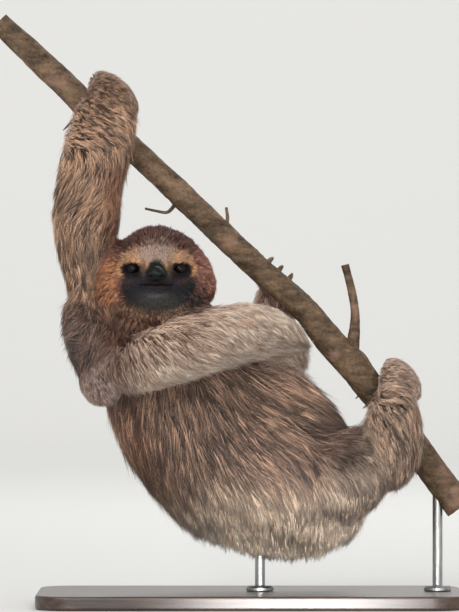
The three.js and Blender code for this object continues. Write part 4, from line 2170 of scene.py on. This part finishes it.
    @staticmethod
    def knot(mesh: Mesh) -> None:
        """Raises knots and swellings on the branch.

        Args:
            mesh: The branch.
        """
        places = rows_of(mesh.vertices, "co", 3).astype(float)
        normals = rows_of(mesh.vertex_normals, "vector", 3).astype(float)
        spots = [
            (34, -9, 249, 5.0, 2.2), (86, 0, 196, 9.0, 2.6), (-58, -4, 322, 4.0, 1.8),
            (-21, -3, 300, 4.5, 1.6), (-176, -4, 446, 4.0, 1.4), (-160, 3, 432, 5.0, 1.6),
            (150, -8, 106, 6.0, 1.5), (60, 9, 210, 6.0, 1.6),
        ]
        for x, y, z, size, high in spots:
            gap = np.linalg.norm(places - np.array([x, y, z]) * MM, axis=1) / MM
            places += normals * (high * MM * np.exp(-((gap / size) ** 2)))[:, None]
        reshape(mesh, places)

    def ends(self, piece: Object) -> None:
        """Gives the sawn end faces, which have more than four corners, their own pale wood.

        Args:
            piece: The branch or a twig.
        """
        mesh = piece.data
        mesh.materials.append(self.sawn)
        for cell in mesh.polygons:
            if len(cell.vertices) > 4:
                cell.material_index = 1
                cell.use_smooth = False


# ---- stand ----
@dataclass
class Stand:
    """The display stand: a stained plate and two steel rods with collars. Sizes in millimetres."""

    wood: Material
    steel: Material
    long: float = 340
    wide: float = 160
    thick: float = 11
    corner: float = 26
    bevel: float = 2
    rod: float = 4
    collar: float = 11
    collar_high: float = 4

    def build(self) -> None:
        """Makes the plate and the rods."""
        self.plate()
        for name in ("stand_rod_body", "stand_rod_perch"):
            self.upright(name)

    def plate(self) -> None:
        """Makes the rounded plate with an eased edge."""
        ring = []
        for cx, cy, start in ((1, -1, -90), (1, 1, 0), (-1, 1, 90), (-1, -1, 180)):
            x, y = cx * (self.long / 2 - self.corner), cy * (self.wide / 2 - self.corner)
            ring += [(x, y, math.radians(start + step * 90 / 16)) for step in range(17)]
        levels = {(-self.bevel, 0.0)}
        for step in range(6):
            turn = math.radians(step * 18)
            inset, rise = -self.bevel * (1 - math.sin(turn)), self.bevel * (1 - math.cos(turn))
            levels.update({(inset, rise), (inset, self.thick - rise)})
        body = bmesh.new()
        rings = []
        for inset, high in sorted(levels, key=lambda level: (level[1], level[0])):
            reach = self.corner + inset
            row = []
            for cx, cy, turn in ring:
                x, y = cx + reach * math.cos(turn), cy + reach * math.sin(turn)
                row.append(body.verts.new((x * MM, y * MM, high * MM)))
            rings.append(row)
        for low, high in zip(rings, rings[1:]):
            self.band(body, low, high)
        body.faces.new(list(reversed(rings[0])))
        body.faces.new(rings[-1])
        bmesh.ops.remove_doubles(body, verts=body.verts, dist=1e-6)
        place("stand_plate", settled("stand_plate", body), self.wood, "stand_wood", ("stand_base",))

    @staticmethod
    def band(
        body: BMesh, low: list[BMVert], high: list[BMVert]
    ) -> None:
        """Joins two rings of vertices by faces. A ring of one vertex is a pole.

        Args:
            body: The mesh.
            low: The lower ring.
            high: The upper ring.
        """
        count = max(len(low), len(high))
        for k in range(count):
            n = (k + 1) % count
            if len(low) == 1:
                body.faces.new((low[0], high[n], high[k]))
            elif len(high) == 1:
                body.faces.new((low[k], low[n], high[0]))
            else:
                body.faces.new((low[k], low[n], high[n], high[k]))

    def upright(self, node: str) -> None:
        """Turns one rod and its collar about the rod's own axis.

        Args:
            node: The rod's solid.
        """
        low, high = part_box(node)
        x, y = (low[0] + high[0]) / 2, (low[1] + high[1]) / 2
        foot, top = low[2], high[2]
        edge, shoulder = 0.5, foot + self.collar_high * MM
        profile = [(0, foot), (self.collar - edge, foot), (self.collar, foot + edge * MM)]
        profile += [(self.collar, foot + 2.4 * MM), (self.collar - 1.5, shoulder)]
        profile += [(self.rod + edge, shoulder), (self.rod, foot + (self.collar_high + edge) * MM)]
        profile += [(self.rod, top - edge * MM), (self.rod - edge, top), (0, top)]
        sides = 40
        body = bmesh.new()
        rings = []
        for radius, z in profile:
            row = []
            for k in range(sides if radius else 1):
                turn, out = 2 * math.pi * k / sides, radius * MM
                row.append(body.verts.new((x + out * math.cos(turn), y + out * math.sin(turn), z)))
            rings.append(row)
        for low_ring, high_ring in zip(rings, rings[1:]):
            self.band(body, low_ring, high_ring)
        place(node + "_steel", settled(node + "_steel", body), self.steel, "stand_steel", (node,))


# ---- studio ----
@dataclass
class Studio:
    """Floor, soft lights and the camera."""

    paper: Material
    camera_at: Way = (-0.0164, -4.0, 0.239)
    lens: float = 294.1

    def build(self) -> None:
        """Sets the floor, the lights, the world and the camera."""
        self.floor()
        self.lamp("key", (-1.5, -2.4, 1.9), 1.6, 43.0)
        self.lamp("fill", (1.7, -2.4, 0.35), 1.8, 22.0)
        self.lamp("rim", (0.7, 2.0, 2.0), 1.2, 20.0)
        self.lamp("low", (0.1, -1.5, 0.05), 0.7, 9.0, (0.05, 0.0, 0.12))
        self.beam("hem", (0.06, -1.3, 0.04), (0.04, 0.0, 0.01), 11.5, 85.0)
        self.lamp("catch", (-0.5, -3.0, 0.9), 0.2, 12.0)
        self.lamp("wall", (0.0, 5.0, 5.0), 4.0, 130.0, (0.0, 6.4, 0.0))
        world = bpy.data.worlds.new("studio")
        world.use_nodes = True
        sky = world.node_tree.nodes["Background"]
        sky.inputs["Color"].default_value = (0.86, 0.87, 0.88, 1.0)
        sky.inputs["Strength"].default_value = 0.8
        bpy.context.scene.world = world
        bpy.context.scene.view_settings.view_transform = "Standard"
        self.camera()

    def floor(self) -> None:
        """Makes the pale floor, which bends up into a wall far behind."""
        front, back, bend, top, steps = -9.0, 5.0, 3.0, 9.0, 24
        rows = [(front, 0.0)]
        for step in range(steps + 1):
            turn = math.pi / 2 * step / steps
            rows.append((back + bend * math.sin(turn), bend * (1 - math.cos(turn))))
        rows.append((back + bend, top))
        half, sunk = 14.0, 0.4 * MM
        corners = np.array([(side * half, y, z - sunk) for y, z in rows for side in (-1, 1)])
        quads = np.array([[2 * k, 2 * k + 1, 2 * k + 3, 2 * k + 2] for k in range(len(rows) - 1)])
        floor = linked("studio_floor", mesh_of("studio_floor", corners, [quads]))
        floor.data.materials.append(self.paper)

    @staticmethod
    def hang(data: Light, at: Way, to: Way) -> None:
        """Hangs a light and aims it.

        Args:
            data: The light.
            at: Its place.
            to: The place that it looks at.
        """
        lamp = linked(data.name, data)
        lamp.location = at
        lamp.rotation_euler = (Vector(to) - Vector(at)).to_track_quat("-Z", "Y").to_euler()

    def lamp(
        self, name: str, at: Way, size: float, power: float, to: Way = (0.0, 0.0, 0.23)
    ) -> None:
        """Hangs one square soft light.

        Args:
            name: Its name.
            at: Its place.
            size: Its side.
            power: Its power in watts.
            to: The place that it looks at, which is the animal unless another is given.
        """
        data = bpy.data.lights.new(name, "AREA")
        data.shape, data.size, data.energy = "SQUARE", size, power
        self.hang(data, at, to)

    def beam(self, name: str, at: Way, to: Way, angle: float, power: float) -> None:
        """Hangs one narrow light with a soft edge.

        Args:
            name: Its name.
            at: Its place.
            to: The place that it looks at.
            angle: Its opening in degrees.
            power: Its power in watts.
        """
        data = bpy.data.lights.new(name, "SPOT")
        data.spot_size, data.spot_blend = math.radians(angle), 1.0
        data.shadow_soft_size, data.energy = 0.03, power
        self.hang(data, at, to)

    def camera(self) -> None:
        """Sets the level camera in front of the animal."""
        data = bpy.data.cameras.new("camera")
        data.sensor_width = 36.0
        data.lens = self.lens
        data.clip_end = 100.0
        camera = linked("camera", data)
        camera.location = self.camera_at
        camera.rotation_euler = (math.radians(90), 0.0, 0.0)
        bpy.context.scene.camera = camera


def main() -> None:
    """Builds every sub-assembly in order."""
    logging.basicConfig(level=logging.INFO, format="%(name)s: %(message)s")
    Studio(StudioFinish().make()).build()
    Stand(STAINED_WOOD.make(), SATIN_STEEL.make()).build()
    Perch(BarkFinish().make(), SAWN_WOOD.make()).build()
    skin = Skin(SkinFinish().make())
    skin.build()
    Eyes(EyeFinish().make()).build(skin.eyes)
    Nose(NoseFinish().make()).build()
    Claws(HORN.make()).build()
    head_hair = HairFinish("head_hair", roughness=0.5, sheen=0.03, gloss=0.16)
    coat = Coat(skin, HairFinish().make(), head_hair.make())
    for patch in PATCHES:
        coat.grow(patch)


if __name__ == "__main__":
    main()
